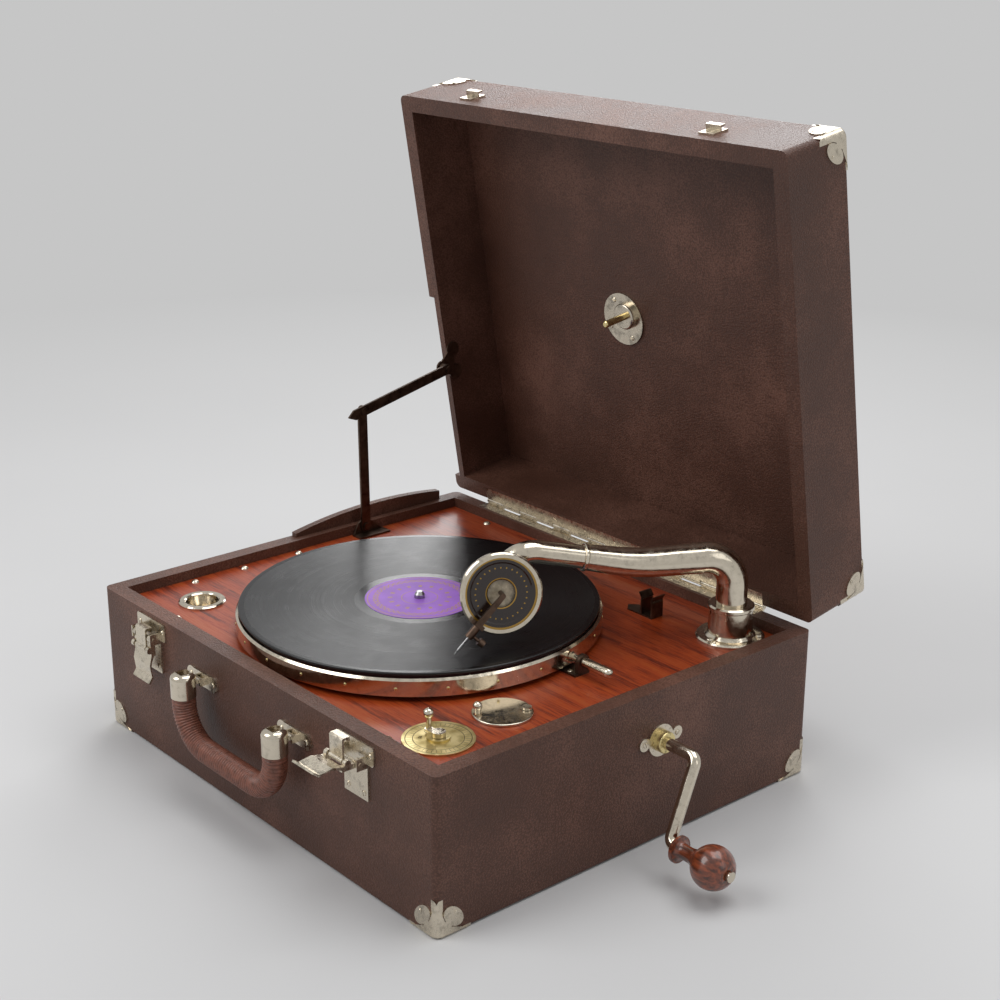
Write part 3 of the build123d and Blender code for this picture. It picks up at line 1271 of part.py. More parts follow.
def latch_pin(middle):
    """The pin between a latch plate's cheeks."""
    return cross_rod(middle, FRONT - LATCH_PIVOT_OUT, LATCH_PIVOT_Z, LATCH_LEVER_WIDTH + 4, LATCH_PIN)


def latch_lever(middle):
    """A hanging lever: two ears on the pin, and a curved sheet that ends in a lip for the finger."""
    y = FRONT - LATCH_PIVOT_OUT
    z = LATCH_PIVOT_Z
    half = LATCH_LEVER_WIDTH / 2
    sheet_top = z - CLAW_PIN_DOWN - 3.4
    tip = z - LATCH_ARM
    bow = ThreePointArc((y + 1, sheet_top), (y - 2, (sheet_top + tip) / 2 + 3), (y - 1, tip + 4))
    rest = Polyline((y - 1, tip + 4), (y - 4, tip), (y - 5.2, tip + 0.8), (y - 2.4, tip + 5),
                    (y - 3.6, (sheet_top + tip) / 2 + 3),
                    (y - 1.6, sheet_top), (y + 1, sheet_top))
    lever = side_strip(make_face([bow, rest]), middle - half, middle + half)
    for side in (-1, 1):
        inner, outer = sorted((middle + side * (half - 3), middle + side * half))
        ear = rod((inner, y, z), (outer, y, z), 3)
        ear += slab(inner, outer, y - 1.8, y + 1.6, sheet_top - 1, z)
        ear += rod((inner, y - CLAW_PIN_OUT, z - CLAW_PIN_DOWN), (outer, y - CLAW_PIN_OUT, z - CLAW_PIN_DOWN),
                   2.4)
        lever += ear
    lever -= cross_rod(middle, y, z, CASE_WIDTH, LATCH_PIN + RUNNING_GAP)
    return lever - cross_rod(middle, y - CLAW_PIN_OUT, z - CLAW_PIN_DOWN, CASE_WIDTH, CLAW_PIN)


def claw_pin(middle):
    """The pin that a claw turns on, between the lever's ears."""
    return cross_rod(middle, FRONT - LATCH_PIVOT_OUT - CLAW_PIN_OUT, LATCH_PIVOT_Z - CLAW_PIN_DOWN,
                     LATCH_LEVER_WIDTH, CLAW_PIN)


def latch_claw(middle):
    """A claw that stands up from its pin and hooks over the lid's catch."""
    y = FRONT - LATCH_PIVOT_OUT - CLAW_PIN_OUT
    z = LATCH_PIVOT_Z - CLAW_PIN_DOWN
    top = z + CLAW_HEIGHT
    sheet = LATCH_SHEET / 2
    profile = Polyline((y - sheet, z), (y - sheet, top - 1), (y - sheet + 1, top), (y + 5, top),
                       (y + 5, top - 3),
                       (y + 5 - LATCH_SHEET, top - 3), (y + 5 - LATCH_SHEET, top - LATCH_SHEET),
                       (y + sheet, top - LATCH_SHEET),
                       (y + sheet, z), close=True)
    half = CLAW_WIDTH / 2
    claw = side_strip(make_face(profile), middle - half, middle + half)
    claw += cross_rod(middle, y, z, CLAW_WIDTH, 2)
    return claw - cross_rod(middle, y, z, CLAW_WIDTH, CLAW_PIN + RUNNING_GAP)


def swung(shape, degrees):
    """Turns something about the latch pins, outwards."""
    axis = Axis((0, FRONT - LATCH_PIVOT_OUT, LATCH_PIVOT_Z), (-1, 0, 0))
    return shape.rotate(axis, degrees)


def swung_claw(middle, degrees):
    """The claw keeps upright while the lever's swing carries its pin."""
    turn = math.radians(degrees)
    out = CLAW_PIN_OUT * math.cos(turn) + CLAW_PIN_DOWN * math.sin(turn) - CLAW_PIN_OUT
    down = CLAW_PIN_DOWN * math.cos(turn) - CLAW_PIN_OUT * math.sin(turn) - CLAW_PIN_DOWN
    return latch_claw(middle).translate((0, -out, -down))


def handle_middles():
    """The two ends of the carrying handle."""
    return FITTINGS_X - HANDLE_SPACING / 2, FITTINGS_X + HANDLE_SPACING / 2


def handle_plates():
    """Two plates with rounded ends, each with two lugs and the pin between them."""
    plates = []
    for middle in handle_middles():
        plate = slab(middle - 13, middle + 13, FRONT - 1.5, FRONT, HANDLE_PLATE_Z - 5, HANDLE_PLATE_Z + 5)
        for side in (-1, 1):
            end = middle + side * 13
            plate += rod((end, FRONT - 1.5, HANDLE_PLATE_Z), (end, FRONT, HANDLE_PLATE_Z), 5.6)
            lug_x = middle + side * (LINK_WIDTH / 2 + 1.1)
            plate += slab(lug_x - 0.8, lug_x + 0.8, FRONT - HANDLE_PIN_OUT - 2, FRONT - 1,
                          HANDLE_PLATE_Z - 2.5, HANDLE_PLATE_Z + 2.5)
        plates.append(plate + cross_rod(middle, FRONT - HANDLE_PIN_OUT, HANDLE_PLATE_Z, LINK_WIDTH + 3,
                                        HANDLE_PIN))
    return plates


def handle_links():
    """Two flat links between the plates and the grip."""
    y, z = FRONT - HANDLE_PIN_OUT, HANDLE_PLATE_Z
    far_y, far_z = FRONT - HANDLE_OUT, HANDLE_PIVOT_Z
    links = []
    for middle in handle_middles():
        link = cross_rod(middle, y, z, LINK_WIDTH, HANDLE_EYE - 0.3) + cross_rod(middle, far_y, far_z,
                                                                                 LINK_WIDTH, HANDLE_EYE)
        web = Polyline((y, z - 1.2), (y, z + 1.2), (far_y, far_z + 1.2), (far_y, far_z - 1.2), close=True)
        link += side_strip(make_face(web), middle - LINK_WIDTH / 2, middle + LINK_WIDTH / 2)
        link -= cross_rod(middle, y, z, WALL, HANDLE_PIN + RUNNING_GAP)
        links.append(link - cross_rod(middle, far_y, far_z, WALL, HANDLE_PIN + RUNNING_GAP))
    return links


def handle_caps():
    """Two thimbles on the grip's ends, slotted for the links, each with its pin."""
    caps = []
    for middle in handle_middles():
        y = FRONT - HANDLE_OUT
        thimble = disc(middle, y, HANDLE_CAP_LOW, HANDLE_CAP_HIGH, HANDLE_CAP_RADIUS)
        thimble = fillet(thimble.faces().sort_by(Axis.Z)[-1].edges(), 4)
        slot = LINK_WIDTH / 2 + SEAT_GAP
        thimble -= slab(middle - slot, middle + slot, y - 3.4, FRONT, HANDLE_PIVOT_Z - 4.5, HANDLE_CAP_HIGH)
        caps.append(thimble + cross_rod(middle, y, HANDLE_PIVOT_Z, 2 * slot + 2, HANDLE_PIN))
    return caps


def handle_grip():
    """The bent grip: two straight ends and a bottom run, joined by round corners."""
    left, right = handle_middles()
    y = FRONT - HANDLE_OUT
    path = FilletPolyline((left, y, HANDLE_CAP_LOW), (left, y, HANDLE_LOW), (right, y, HANDLE_LOW),
                          (right, y, HANDLE_CAP_LOW),
                          radius=HANDLE_CORNER)
    return sweep(Plane(origin=(left, y, HANDLE_CAP_LOW), z_dir=(0, 0, -1)) * Circle(HANDLE_GRIP_RADIUS),
                 path=path)


def crank_escutcheon():
    """The oval plate round the crank's bush, with two screw ears."""
    plate = cross_rod(RIGHT + 0.6, CRANK_Y, CRANK_Z, 1.2, 11)
    for side in (-1, 1):
        plate += cross_rod(RIGHT + 0.6, CRANK_Y + side * 14.5, CRANK_Z + 1, 1.2, 4.5)
    return plate - cross_rod(RIGHT + 0.6, CRANK_Y, CRANK_Z, 2, BUSH_RADIUS)


def crank_bush():
    """The brass bush through the wall."""
    start = (RIGHT - WALL, CRANK_Y, CRANK_Z)
    end = (RIGHT + BUSH_REACH, CRANK_Y, CRANK_Z)
    bush = rod(start, end, BUSH_RADIUS)
    bush = fillet(bush.faces().sort_by(Axis.X)[-1].edges(), 1)
    return bush - rod(start, end, CRANK_ROD + RUNNING_GAP)


def crank_ends():
    """The four corners of the crank's middle line."""
    lean = math.radians(CRANK_LEAN)
    y = CRANK_Y - CRANK_THROW * math.sin(lean)
    z = CRANK_Z - CRANK_THROW * math.cos(lean)
    first = RIGHT + CRANK_REACH
    second = first + CRANK_STEP
    socket = RIGHT - WALL - 20
    return (socket, CRANK_Y, CRANK_Z), (first, CRANK_Y, CRANK_Z), (second, y, z), (RIGHT + KNOB_START - 0.4,
                                                                                   y, z)


def crank():
    """The bent rod, ending in the knob's pin and its head."""
    corners = crank_ends()
    path = FilletPolyline(*corners, radius=CRANK_BEND)
    section = Plane(origin=corners[0], z_dir=(1, 0, 0)) * Circle(CRANK_ROD)
    bar = sweep(section, path=path)
    start = corners[-1]
    end = RIGHT + KNOB_START + KNOB_BALL_PLACE + KNOB_BALL
    bar += rod((start[0] - 1, start[1], start[2]), (end, start[1], start[2]), KNOB_PIN)
    return bar + rod((end - 0.4, start[1], start[2]), (end + 1, start[1], start[2]), KNOB_PIN + 1)


def crank_knob():
    """The turned wooden knob: a flange, a waist and a ball."""
    _, y, z = crank_ends()[-1]
    ball = KNOB_BALL_PLACE
    end = ball + math.sqrt(KNOB_BALL**2 - 6**2)
    join = ball - math.sqrt(KNOB_BALL**2 - 8**2)
    waist = Spline((KNOB_FLANGE, 2.5), (KNOB_NECK, 8.5), (8, join), tangents=((-1, 0), (1, 1)))
    round_ball = ThreePointArc((8, join), (KNOB_BALL, ball), (6, end))
    outline = Polyline((6, end), (KNOB_PIN + RUNNING_GAP, end), (KNOB_PIN + RUNNING_GAP, 0),
                       (KNOB_FLANGE - 0.8, 0),
                       (KNOB_FLANGE, 0.8), (KNOB_FLANGE, 2.5))
    knob = turned([waist, round_ball, outline])
    return Pos(RIGHT + KNOB_START, y, z) * Rot(0, 90, 0) * knob


def stay_x(layer):
    """The stay's bars lie side by side; layer nought is the one by the wall."""
    return LEFT + WALL + 3 + layer * (STAY_BAR + STAY_LAYER_GAP)


def stay_bar(layer, y, z, far_y, far_z, tail):
    """A flat bar between two pivots, with a pointed tail beyond the first if it has one."""
    line = Vector(far_y - y, far_z - z).normalized()
    side = Vector(-line.Y, line.X) * (STAY_WIDTH / 2)
    start = Vector(y, z) - line * tail * 0.6
    corners = [start + side, Vector(far_y, far_z) + side, Vector(far_y, far_z) - side, start - side]
    if tail:
        corners.append(Vector(y, z) - line * tail)
    outline = make_face(Polyline(*[(corner.X, corner.Y) for corner in corners], close=True))
    outline += Pos(far_y, far_z) * Circle(STAY_WIDTH / 2)
    if not tail:
        outline += Pos(y, z) * Circle(STAY_WIDTH / 2)
    x = stay_x(layer)
    return side_strip(outline, x, x + STAY_BAR)


def stay_hole(y, z, gap):
    """What a rivet with some radial gap takes out of the bars."""
    return rod((LEFT + WALL + 0.5, y, z), (stay_x(4), y, z), STAY_RIVET + gap)


def elbow_head(x):
    """One head of the elbow's rivet, on the outside of its bar; its shank is left out between the bars."""
    return rod((x, STAY_ELBOW_Y, STAY_ELBOW_Z), (x + STAY_HEAD_RISE, STAY_ELBOW_Y, STAY_ELBOW_Z), STAY_HEAD)


def stay_foot():
    """The bent plate on the board, with the riveted pin that the lower bar turns on."""
    x = stay_x(0)
    upright = Polyline((STAY_FOOT_Y - 11, BOARD_TOP), (STAY_FOOT_Y - 6, STAY_FOOT_Z + 3),
                       (STAY_FOOT_Y - 2, STAY_FOOT_Z + 5),
                       (STAY_FOOT_Y + 2, STAY_FOOT_Z + 5), (STAY_FOOT_Y + 6, STAY_FOOT_Z + 3),
                       (STAY_FOOT_Y + 18, BOARD_TOP),
                       close=True)
    foot = side_strip(make_face(upright), x, x + STAY_BAR)
    foot += slab(x, x + 11, STAY_FOOT_Y - 11, STAY_FOOT_Y + 18, BOARD_TOP, BOARD_TOP + 1.4)
    foot += rod((x, STAY_FOOT_Y, STAY_FOOT_Z), (stay_x(2) + 0.6, STAY_FOOT_Y, STAY_FOOT_Z), STAY_RIVET)
    return foot + rod((stay_x(2), STAY_FOOT_Y, STAY_FOOT_Z), (stay_x(2) + 1, STAY_FOOT_Y, STAY_FOOT_Z),
                      STAY_HEAD)


def stay_lower_link():
    """The long bar from the foot to the elbow."""
    bar = stay_bar(1, STAY_ELBOW_Y, STAY_ELBOW_Z, STAY_FOOT_Y, STAY_FOOT_Z, 0)
    bar += elbow_head(stay_x(1) - STAY_HEAD_RISE)
    return bar - stay_hole(STAY_FOOT_Y, STAY_FOOT_Z, RUNNING_GAP)


def stay_upper_link():
    """The bar from the elbow to the lid, with the pointed thumb tail."""
    bar = stay_bar(2, STAY_ELBOW_Y, STAY_ELBOW_Z, STAY_LID_Y, STAY_LID_Z, STAY_TAIL)
    bar += elbow_head(stay_x(2) + STAY_BAR)
    return bar - stay_hole(STAY_LID_Y, STAY_LID_Z, RUNNING_GAP)


def stay_lid_bracket():
    """The plate on the lid's wall, with two rounded ends and the stay's upper rivet."""
    wall_x = LEFT + WALL
    lobes = [(150.0, 233.8), (153.0, 215.0)]
    outline = Pos(*lobes[0]) * Circle(6) + Pos(*lobes[1]) * Circle(6)
    outline += make_face(Polyline((STAY_LID_Y, STAY_LID_Z - 5), (STAY_LID_Y, STAY_LID_Z + 5),
                                  (lobes[0][0], lobes[0][1] + 4),
                                  (lobes[1][0], lobes[1][1] - 4), close=True))
    outline += Pos(STAY_LID_Y, STAY_LID_Z) * Circle(5)
    bracket = side_strip(outline, wall_x, wall_x + 1.4)
    bracket += rod((wall_x + 1, STAY_LID_Y, STAY_LID_Z), (stay_x(1) + STAY_BAR, STAY_LID_Y, STAY_LID_Z), 3.4)
    bracket += rod((wall_x + 1, STAY_LID_Y, STAY_LID_Z), (stay_x(3), STAY_LID_Y, STAY_LID_Z), STAY_RIVET)
    return bracket + rod((stay_x(3) - 0.1, STAY_LID_Y, STAY_LID_Z), (stay_x(3) + 0.9, STAY_LID_Y, STAY_LID_Z),
                         STAY_HEAD)


def build_case():
    """The case and what is fixed on it."""
    write("case_shell", *case_shell(), *battens())
    write("bottom_board", bottom_board())
    write("motor_board", motor_board())
    write("board_screws", *board_screws(), *foot_screws(), needle_box_screw())
    write("base_corner_caps", *corner_caps(base_block, 0, -1))
    write("hinge_base_leaf", hinge_base_leaf())
    write("hinge_pins", hinge_pin(), sound_flap_rod(), *[latch_pin(middle) for middle in latch_middles()])
    write("sound_flap", sound_flap())
    write("sound_horn", sound_horn())
    write("crank_clip", crank_clip())


def build_lid():
    """The lid, its fittings and its stay."""
    write("lid_shell", lid_shell())
    write("hinge_lid_leaf", hinge_lid_leaf())
    write("lid_corner_caps", *[open_lid(cap) for cap in corner_caps(lid_block, LID_TOP + CAP_SHEET, 1)])
    write("lid_catches", *lid_catches())
    write("record_holder", record_holder_plate(), record_holder_hub(), record_holder_pin())
    write("stay_foot", stay_foot())
    write("stay_lower_link", stay_lower_link())
    write("stay_upper_link", stay_upper_link())
    write("stay_lid_bracket", stay_lid_bracket())


def build_front():
    """The latches and the carrying handle."""
    left, right = latch_middles()
    write("latch_plates", *latch_plates())
    write("latch_lever_left", latch_lever(left), claw_pin(left))
    write("latch_claw_left", latch_claw(left))
    write("latch_lever_right", swung(latch_lever(right), LATCH_RIGHT_SWING),
          swung(claw_pin(right), LATCH_RIGHT_SWING))
    write("latch_claw_right", swung_claw(right, LATCH_RIGHT_SWING))
    write("handle_plates", *handle_plates())
    write("handle_links", *handle_links())
    write("handle_caps", *handle_caps())
    write("handle_grip", handle_grip())


def build_drive():
    """The crank, the spring motor and the turntable."""
    write("crank_escutcheon", crank_escutcheon())
    write("crank_bush", crank_bush())
    write("crank", crank())
    write("crank_knob", crank_knob())
    write("winding_worm", winding_worm())
    write("barrel_arbor", barrel_arbor() + winding_wheel())
    write("spring_barrel", spring_barrel())
    write("mainspring", mainspring())
    write("middle_wheel", middle_shaft() + middle_wheel() + middle_pinion())
    write("spindle", spindle() + spindle_pinion() + spindle_worm_wheel())
    write("governor", governor(), *governor_weights())
    write("motor_plates", motor_plate(MOTOR_LOW), motor_plate(MOTOR_HIGH))
    write("motor_pillars", *motor_pillars(), *motor_mounts(), *winding_brackets(), *governor_cocks(),
          speed_arm_stud())
    write("speed_arm", speed_arm())
    write("turntable", turntable())
    write("turntable_felt", round_sheet(TABLE_DECK, RECORD_LOW, FELT_RADIUS))
    write("record", record())
    write("record_label", round_sheet(RECORD_TOP, RECORD_TOP + LABEL_THICK, LABEL_RADIUS))


def build_board_fittings():
    """The brake, the speed dial and the two needle cups."""
    write("brake_bracket", brake_bracket())
    write("brake_rod", brake_rod() + brake_pad())
    write("speed_dial", speed_dial())
    write("speed_lever", speed_lever())
    waste_cup = cup(NEEDLE_CUP_X, NEEDLE_CUP_Y, NEEDLE_CUP_HOLE, NEEDLE_CUP_DEPTH) + needle_cup_ring()
    write("needle_cups", waste_cup, cup(BOX_X, BOX_Y, BOX_BORE, BOX_CUP_DEPTH))
    write("needle_box_lid", needle_box_lid())


def build_tonearm():
    """The tone arm, its gooseneck and the soundbox."""
    write("tonearm_foot", tonearm_foot())
    write("tonearm", tonearm())
    write("gooseneck", gooseneck(), gooseneck_collar())
    write("soundbox_body", soundbox_body())
    write("soundbox_diaphragm", soundbox_diaphragm(), soundbox_gasket())
    write("soundbox_face", soundbox_face())
    write("needle_bar", needle_bar() + needle_screw())
    write("needle", needle())


def main():
    """Builds every piece."""
    os.makedirs("parts", exist_ok=True)
    build_case()
    build_lid()
    build_front()
    build_drive()
    build_board_fittings()
    build_tonearm()


if __name__ == "__main__":
    main()
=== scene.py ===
import math

import bmesh
import bpy
from bpy.props import FloatProperty, FloatVectorProperty, IntProperty, PointerProperty
from bpy.types import Operator, Panel, PropertyGroup
from mathutils import Matrix, Vector


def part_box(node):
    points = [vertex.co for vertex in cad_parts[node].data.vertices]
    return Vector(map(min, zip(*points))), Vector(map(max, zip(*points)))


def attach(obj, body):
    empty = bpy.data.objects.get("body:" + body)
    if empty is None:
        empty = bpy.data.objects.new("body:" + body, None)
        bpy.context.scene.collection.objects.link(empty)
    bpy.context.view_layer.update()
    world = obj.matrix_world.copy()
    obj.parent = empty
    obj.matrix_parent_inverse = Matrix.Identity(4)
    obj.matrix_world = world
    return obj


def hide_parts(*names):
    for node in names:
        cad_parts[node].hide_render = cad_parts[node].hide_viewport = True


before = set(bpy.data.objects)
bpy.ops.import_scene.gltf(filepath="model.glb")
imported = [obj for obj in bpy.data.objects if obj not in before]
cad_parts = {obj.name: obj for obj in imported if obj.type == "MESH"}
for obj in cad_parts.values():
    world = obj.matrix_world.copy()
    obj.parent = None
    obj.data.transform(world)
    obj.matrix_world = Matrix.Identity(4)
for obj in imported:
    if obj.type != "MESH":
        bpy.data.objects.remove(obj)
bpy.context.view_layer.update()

bl_info = {
    "name": "Portable gramophone",
    "version": (1, 0, 0),
    "blender": (4, 5, 0),
    "location": "3D View > Sidebar > Gramophone",
    "description": "Finishes and small pieces for a wind-up portable gramophone",
    "category": "Object",
}

MM = 0.001
UP = Vector((0, 0, 1))
DOWN = Vector((0, 0, -1))
FRONTWARD = Vector((0, -1, 0))
RIGHTWARD = Vector((1, 0, 0))

# The photograph's camera, solved from the record's outline and the case's edges
CAMERA_PLACE = (0.9032, -0.7260, 0.5913)
CAMERA_AZIMUTH = 49.41
CAMERA_ELEVATION = 19.24
CAMERA_ROLL = 0.15
CAMERA_LENS = 64.37

# The paper floor, and the ring in which it passes into the even backdrop, in metres
FLOOR_RADIUS = 14.0
FLOOR_NEAR = 0.45
FLOOR_FAR = 1.5

# The softboxes, by place and side in metres and power in watts, and the point they look at
LAMPS = {
    "key_softbox": ((-0.7, -1.5, 1.7), 1.3, 19),
    "top_softbox": ((0.3, 0.5, 2.1), 1.6, 22),
    "side_softbox": ((1.9, 0.4, 1.1), 1.0, 2.5),
    "back_softbox": ((-1.6, 1.9, 1.35), 1.4, 26),
}
LAMP_AIM = Vector((0, 0, 0.12))
FILL_STRENGTH = 0.7

# Places of the case, in millimetres, and the lid's angle from shut in degrees
CASE_RIGHT = 191.0
CASE_BACK = 164.0
RIM_HEIGHT = 107.0
LID_RIM = 107.4
LID_TOP = 162.4
LID_CEILING = 158.4
LID_OPEN = 80.65
HINGE_Y = 166.5
HINGE_Z = 109.2
HINGE_LEAF_MIDDLE = (-3.0, 159.0)
BOARD_TOP = 99.5
CAP_SHEET = 0.8
CAP_EAR = 14.5

# Places of the fittings, in millimetres
LATCH_MIDDLES = (-124.2, 115.8)
LATCH_FACE = -165.2
HANDLE_MIDDLES = (-58.6, 50.2)
HANDLE_FACE = -165.5
HANDLE_Z = 81.0
GRIP_Y = -180.0
GRIP_END_Z = 73.0
GRIP_LOW_Z = 42.0
GRIP_CORNER = 27.0
CRANK_AXIS = (19.0, 72.0)
ARM_FOOT = (150.0, 127.0)
HOLDER = (-22.0, 0.0)
HOLDER_PIN = (-15.0, -5.0)
TURNTABLE_RADIUS = 126.8
DIAL = (142.5, -122.5)
BRAKE_FOOT = (123.5, 6.5)
RIM_RIVET_Z = 108.5
DIAL_SHEET = 1.2
NUMERAL_RING = 11.5

# Screws: steps from a plate's middle or circles round it in millimetres, and turns of the slots in degrees
LATCH_SCREWS = ((-14.8, 97.5, 20), (14.8, 97.5, 65), (-8.0, 70.5, -30), (8.0, 70.5, 10))
HANDLE_SCREWS = ((-13.5, 40), (13.5, -15))
ESCUTCHEON_SCREWS = ((-14.5, 25), (14.5, -50))
ESCUTCHEON_SHEET = 1.2
ARM_FOOT_SCREWS = (40, 160, 280)
ARM_FOOT_CIRCLE = 20.4
ARM_FOOT_SHEET = 2.4
BRAKE_SCREWS = (-3.6, 3.0)
BRAKE_SHEET = 1.5
HOLDER_SCREWS = (60, 150, 240)
HOLDER_CIRCLE = 15.8
HOLDER_SHEET = 1.5
HINGE_SIDE_SCREWS = 4
HINGE_SCREW_PITCH = 33

# Heads: rise as a share of the radius, slot as shares of radius and rise, and in metres
# the rise of a flush head and the depth that every head goes into its ground
SCREW_RISE = 0.4
NAIL_RISE = 0.45
RIVET_RISE = 0.4
SLOT_HALF = 0.16
SLOT_DEPTH = 0.55
FLUSH_RISE = 0.0002
HEAD_SUNK = 0.0002

# Rings of the patterns, by radius in metres, and how often a mark comes round
GROOVES_INNER = 0.045
GROOVES_OUTER = 0.121
GROOVES_LEAD = 0.0005
LABEL_EDGE = 0.0362
LABEL_HOLE = 0.0125
PLAIT_RING = 0.0305
PLAIT_SWING = 0.0016
PLAIT_TURNS = 22.0
DOT_RING = 0.0205
DOTS = 16
TICK_RING = 0.0178
TICKS = 40
DIAL_RINGS = ((0.0203, 0.00022), (0.0157, 0.0002))
NUMERAL_RISE = 0.00006
NUMERALS = {"70": 225, "80": 180, "90": 135}
FACE_BORDER = 0.0234
FACE_EDGE = 0.0099
BEAD_RING = 0.0170
BEADS = 28
PIN_RADIUS = 0.0027

# The sockets of a mix node that hold its two colours and its result
MIX_GROUND = 6
MIX_INK = 7
MIX_RESULT = 2

# Corners closer than this, in metres, become one
MERGE = 1e-6

# The soundbox's face: its middle, the way it looks, and the way from its middle to the needle
FACE = Vector((0.092723, -0.029925, 0.154227))
NEEDLE_TIP = Vector((0.085980, -0.064185, 0.119380))
FACE_OUT = Vector((0.855365, -0.493844, 0.156434))


def linear(hex_colour):
    """An sRGB hex colour as linear red, green and blue."""
    channels = [int(hex_colour[start:start + 2], 16) / 255 for start in (1, 3, 5)]
    return tuple(c / 12.92 if c <= 0.04045 else ((c + 0.055) / 1.055) ** 2.4 for c in channels)


def shade(base, factor):
    """A colour made lighter or darker."""
    return tuple(min(1.0, channel * factor) for channel in base)


def colour(name, description, hex_colour):
    """A colour that a user may change."""
    return FloatVectorProperty(name=name, description=description, subtype="COLOR", size=3, min=0, max=1,
                               default=linear(hex_colour))


def length(name, description, millimetres):
    """A size that a user may change, given here in millimetres."""
    return FloatProperty(name=name, description=description, default=millimetres * MM, unit="LENGTH",
                         precision=5)


class GramophoneColours(PropertyGroup):
    """Colours of the finishes."""

    cloth: colour("Covering", "Leathercloth over the case and the lid", "#523326")
    cloth_light: colour("Covering, worn", "Leathercloth where its grain is rubbed", "#7A5445")
    mahogany_dark: colour("Mahogany, dark", "Pores and dark bands of the motor board", "#4E1406")
    mahogany: colour("Mahogany", "Body of the motor board", "#9A3A12")
    mahogany_light: colour("Mahogany, light", "Pale bands of the motor board", "#A44E20")
    nickel: colour("Nickel", "Plating of the fittings", "#D4CAB8")
    brass: colour("Brass", "Bare brass", "#E0CE96")
    brass_dull: colour("Brass, dull", "Tarnish on the brass", "#B09C62")
    shellac: colour("Record", "Pressed shellac", "#0D0D0F")
    label: colour("Label", "Printed paper on the record", "#9660C4")
    gold_ink: colour("Gold ink", "Ornament on the label and the soundbox", "#B08A3C")
    knob: colour("Knob", "Stained and varnished turned wood", "#6E3218")
    grip: colour("Grip", "Ribbed leather of the carrying handle", "#7E4E3E")
    steel: colour("Steel", "Ground steel of the motor", "#A8A8A8")
    browned: colour("Browned steel", "Oxide on the stay, the clip and the needle bar", "#5C4A3E")
    blued: colour("Blued steel", "Oxide on the mainspring", "#2C3448")
    stoved: colour("Stoved black", "Paint on the horn's sheet", "#1C1C1C")
    felt: colour("Felt", "Wool felt on the turntable", "#4A1C1C")
    mica: colour("Mica", "The soundbox's diaphragm", "#B0A48C")
    enamel: colour("Enamel", "Ground of the soundbox's face ring", "#24160F")
    wax: colour("Wax", "Filling of the dial's numbers", "#241C0C")
    fill: colour("Fill light", "Soft light of the studio's walls", "#B8B8BA")
    floor: colour("Floor", "Paper sweep under the object", "#D2D2D2")
    backdrop: colour("Backdrop", "Even pale ground behind the object", "#C6C6C6")


class GramophoneSizes(PropertyGroup):
    """Sizes of the finishes and small pieces."""

    cloth_grain: length("Covering grain", "Size of one pebble of the leathercloth", 1.3)
    wood_pore: length("Wood pore", "Distance between the board's pores, across the grain", 0.9)
    wood_band: length("Wood band", "Width of the board's colour bands", 9.0)
    groove: length("Groove", "Distance between drawn record grooves, coarser than real so that they show",
                   0.9)
    grip_rib: length("Grip rib", "Distance between the ribs of the handle's leather", 2.3)
    grip_radius: length("Grip radius", "Half the thickness of the handle's leather", 8.2)
    grip_rib_depth: length("Grip rib depth", "Depth between two ribs of the handle's leather", 0.7)
    screw_head: length("Screw head", "Radius of the fittings' screw heads", 1.9)
    cap_nail: length("Cap nail", "Radius of the corner caps' nail heads", 1.3)
    rim_rivet: length("Rim rivet", "Radius of the rivets round the turntable", 1.1)
    rim_rivets: IntProperty(name="Rim rivets", description="Rivets round the turntable", default=24, min=4)
    numeral: length("Numeral", "Height of the numbers on the speed dial", 3.4)


def colours():
    """The scene's colours."""
    return bpy.context.scene.gramophone_colours


def sizes():
    """The scene's sizes."""
    return bpy.context.scene.gramophone_sizes


def set_inputs(tree, node, inputs):
    """Gives a node's inputs a number, another node's first output, or a socket."""
    for key, value in inputs.items():
        if isinstance(value, bpy.types.Node):
            value = value.outputs[0]
        if isinstance(value, bpy.types.NodeSocket):
            tree.links.new(value, node.inputs[key])
        else:
            node.inputs[key].default_value = value


def add_node(tree, kind, inputs=None, stops=(), **settings):
    """Adds a node with its settings, its inputs and, for a colour ramp, its stops."""
    node = tree.nodes.new("ShaderNode" + kind)
    for name, value in settings.items():
        setattr(node, name, value)
    set_inputs(tree, node, inputs or {})
    for number, (position, hue) in enumerate(stops):
        elements = node.color_ramp.elements
        stop = elements[number] if number < len(elements) else elements.new(position)
        stop.position = position
        stop.color = (*hue, 1)
    return node


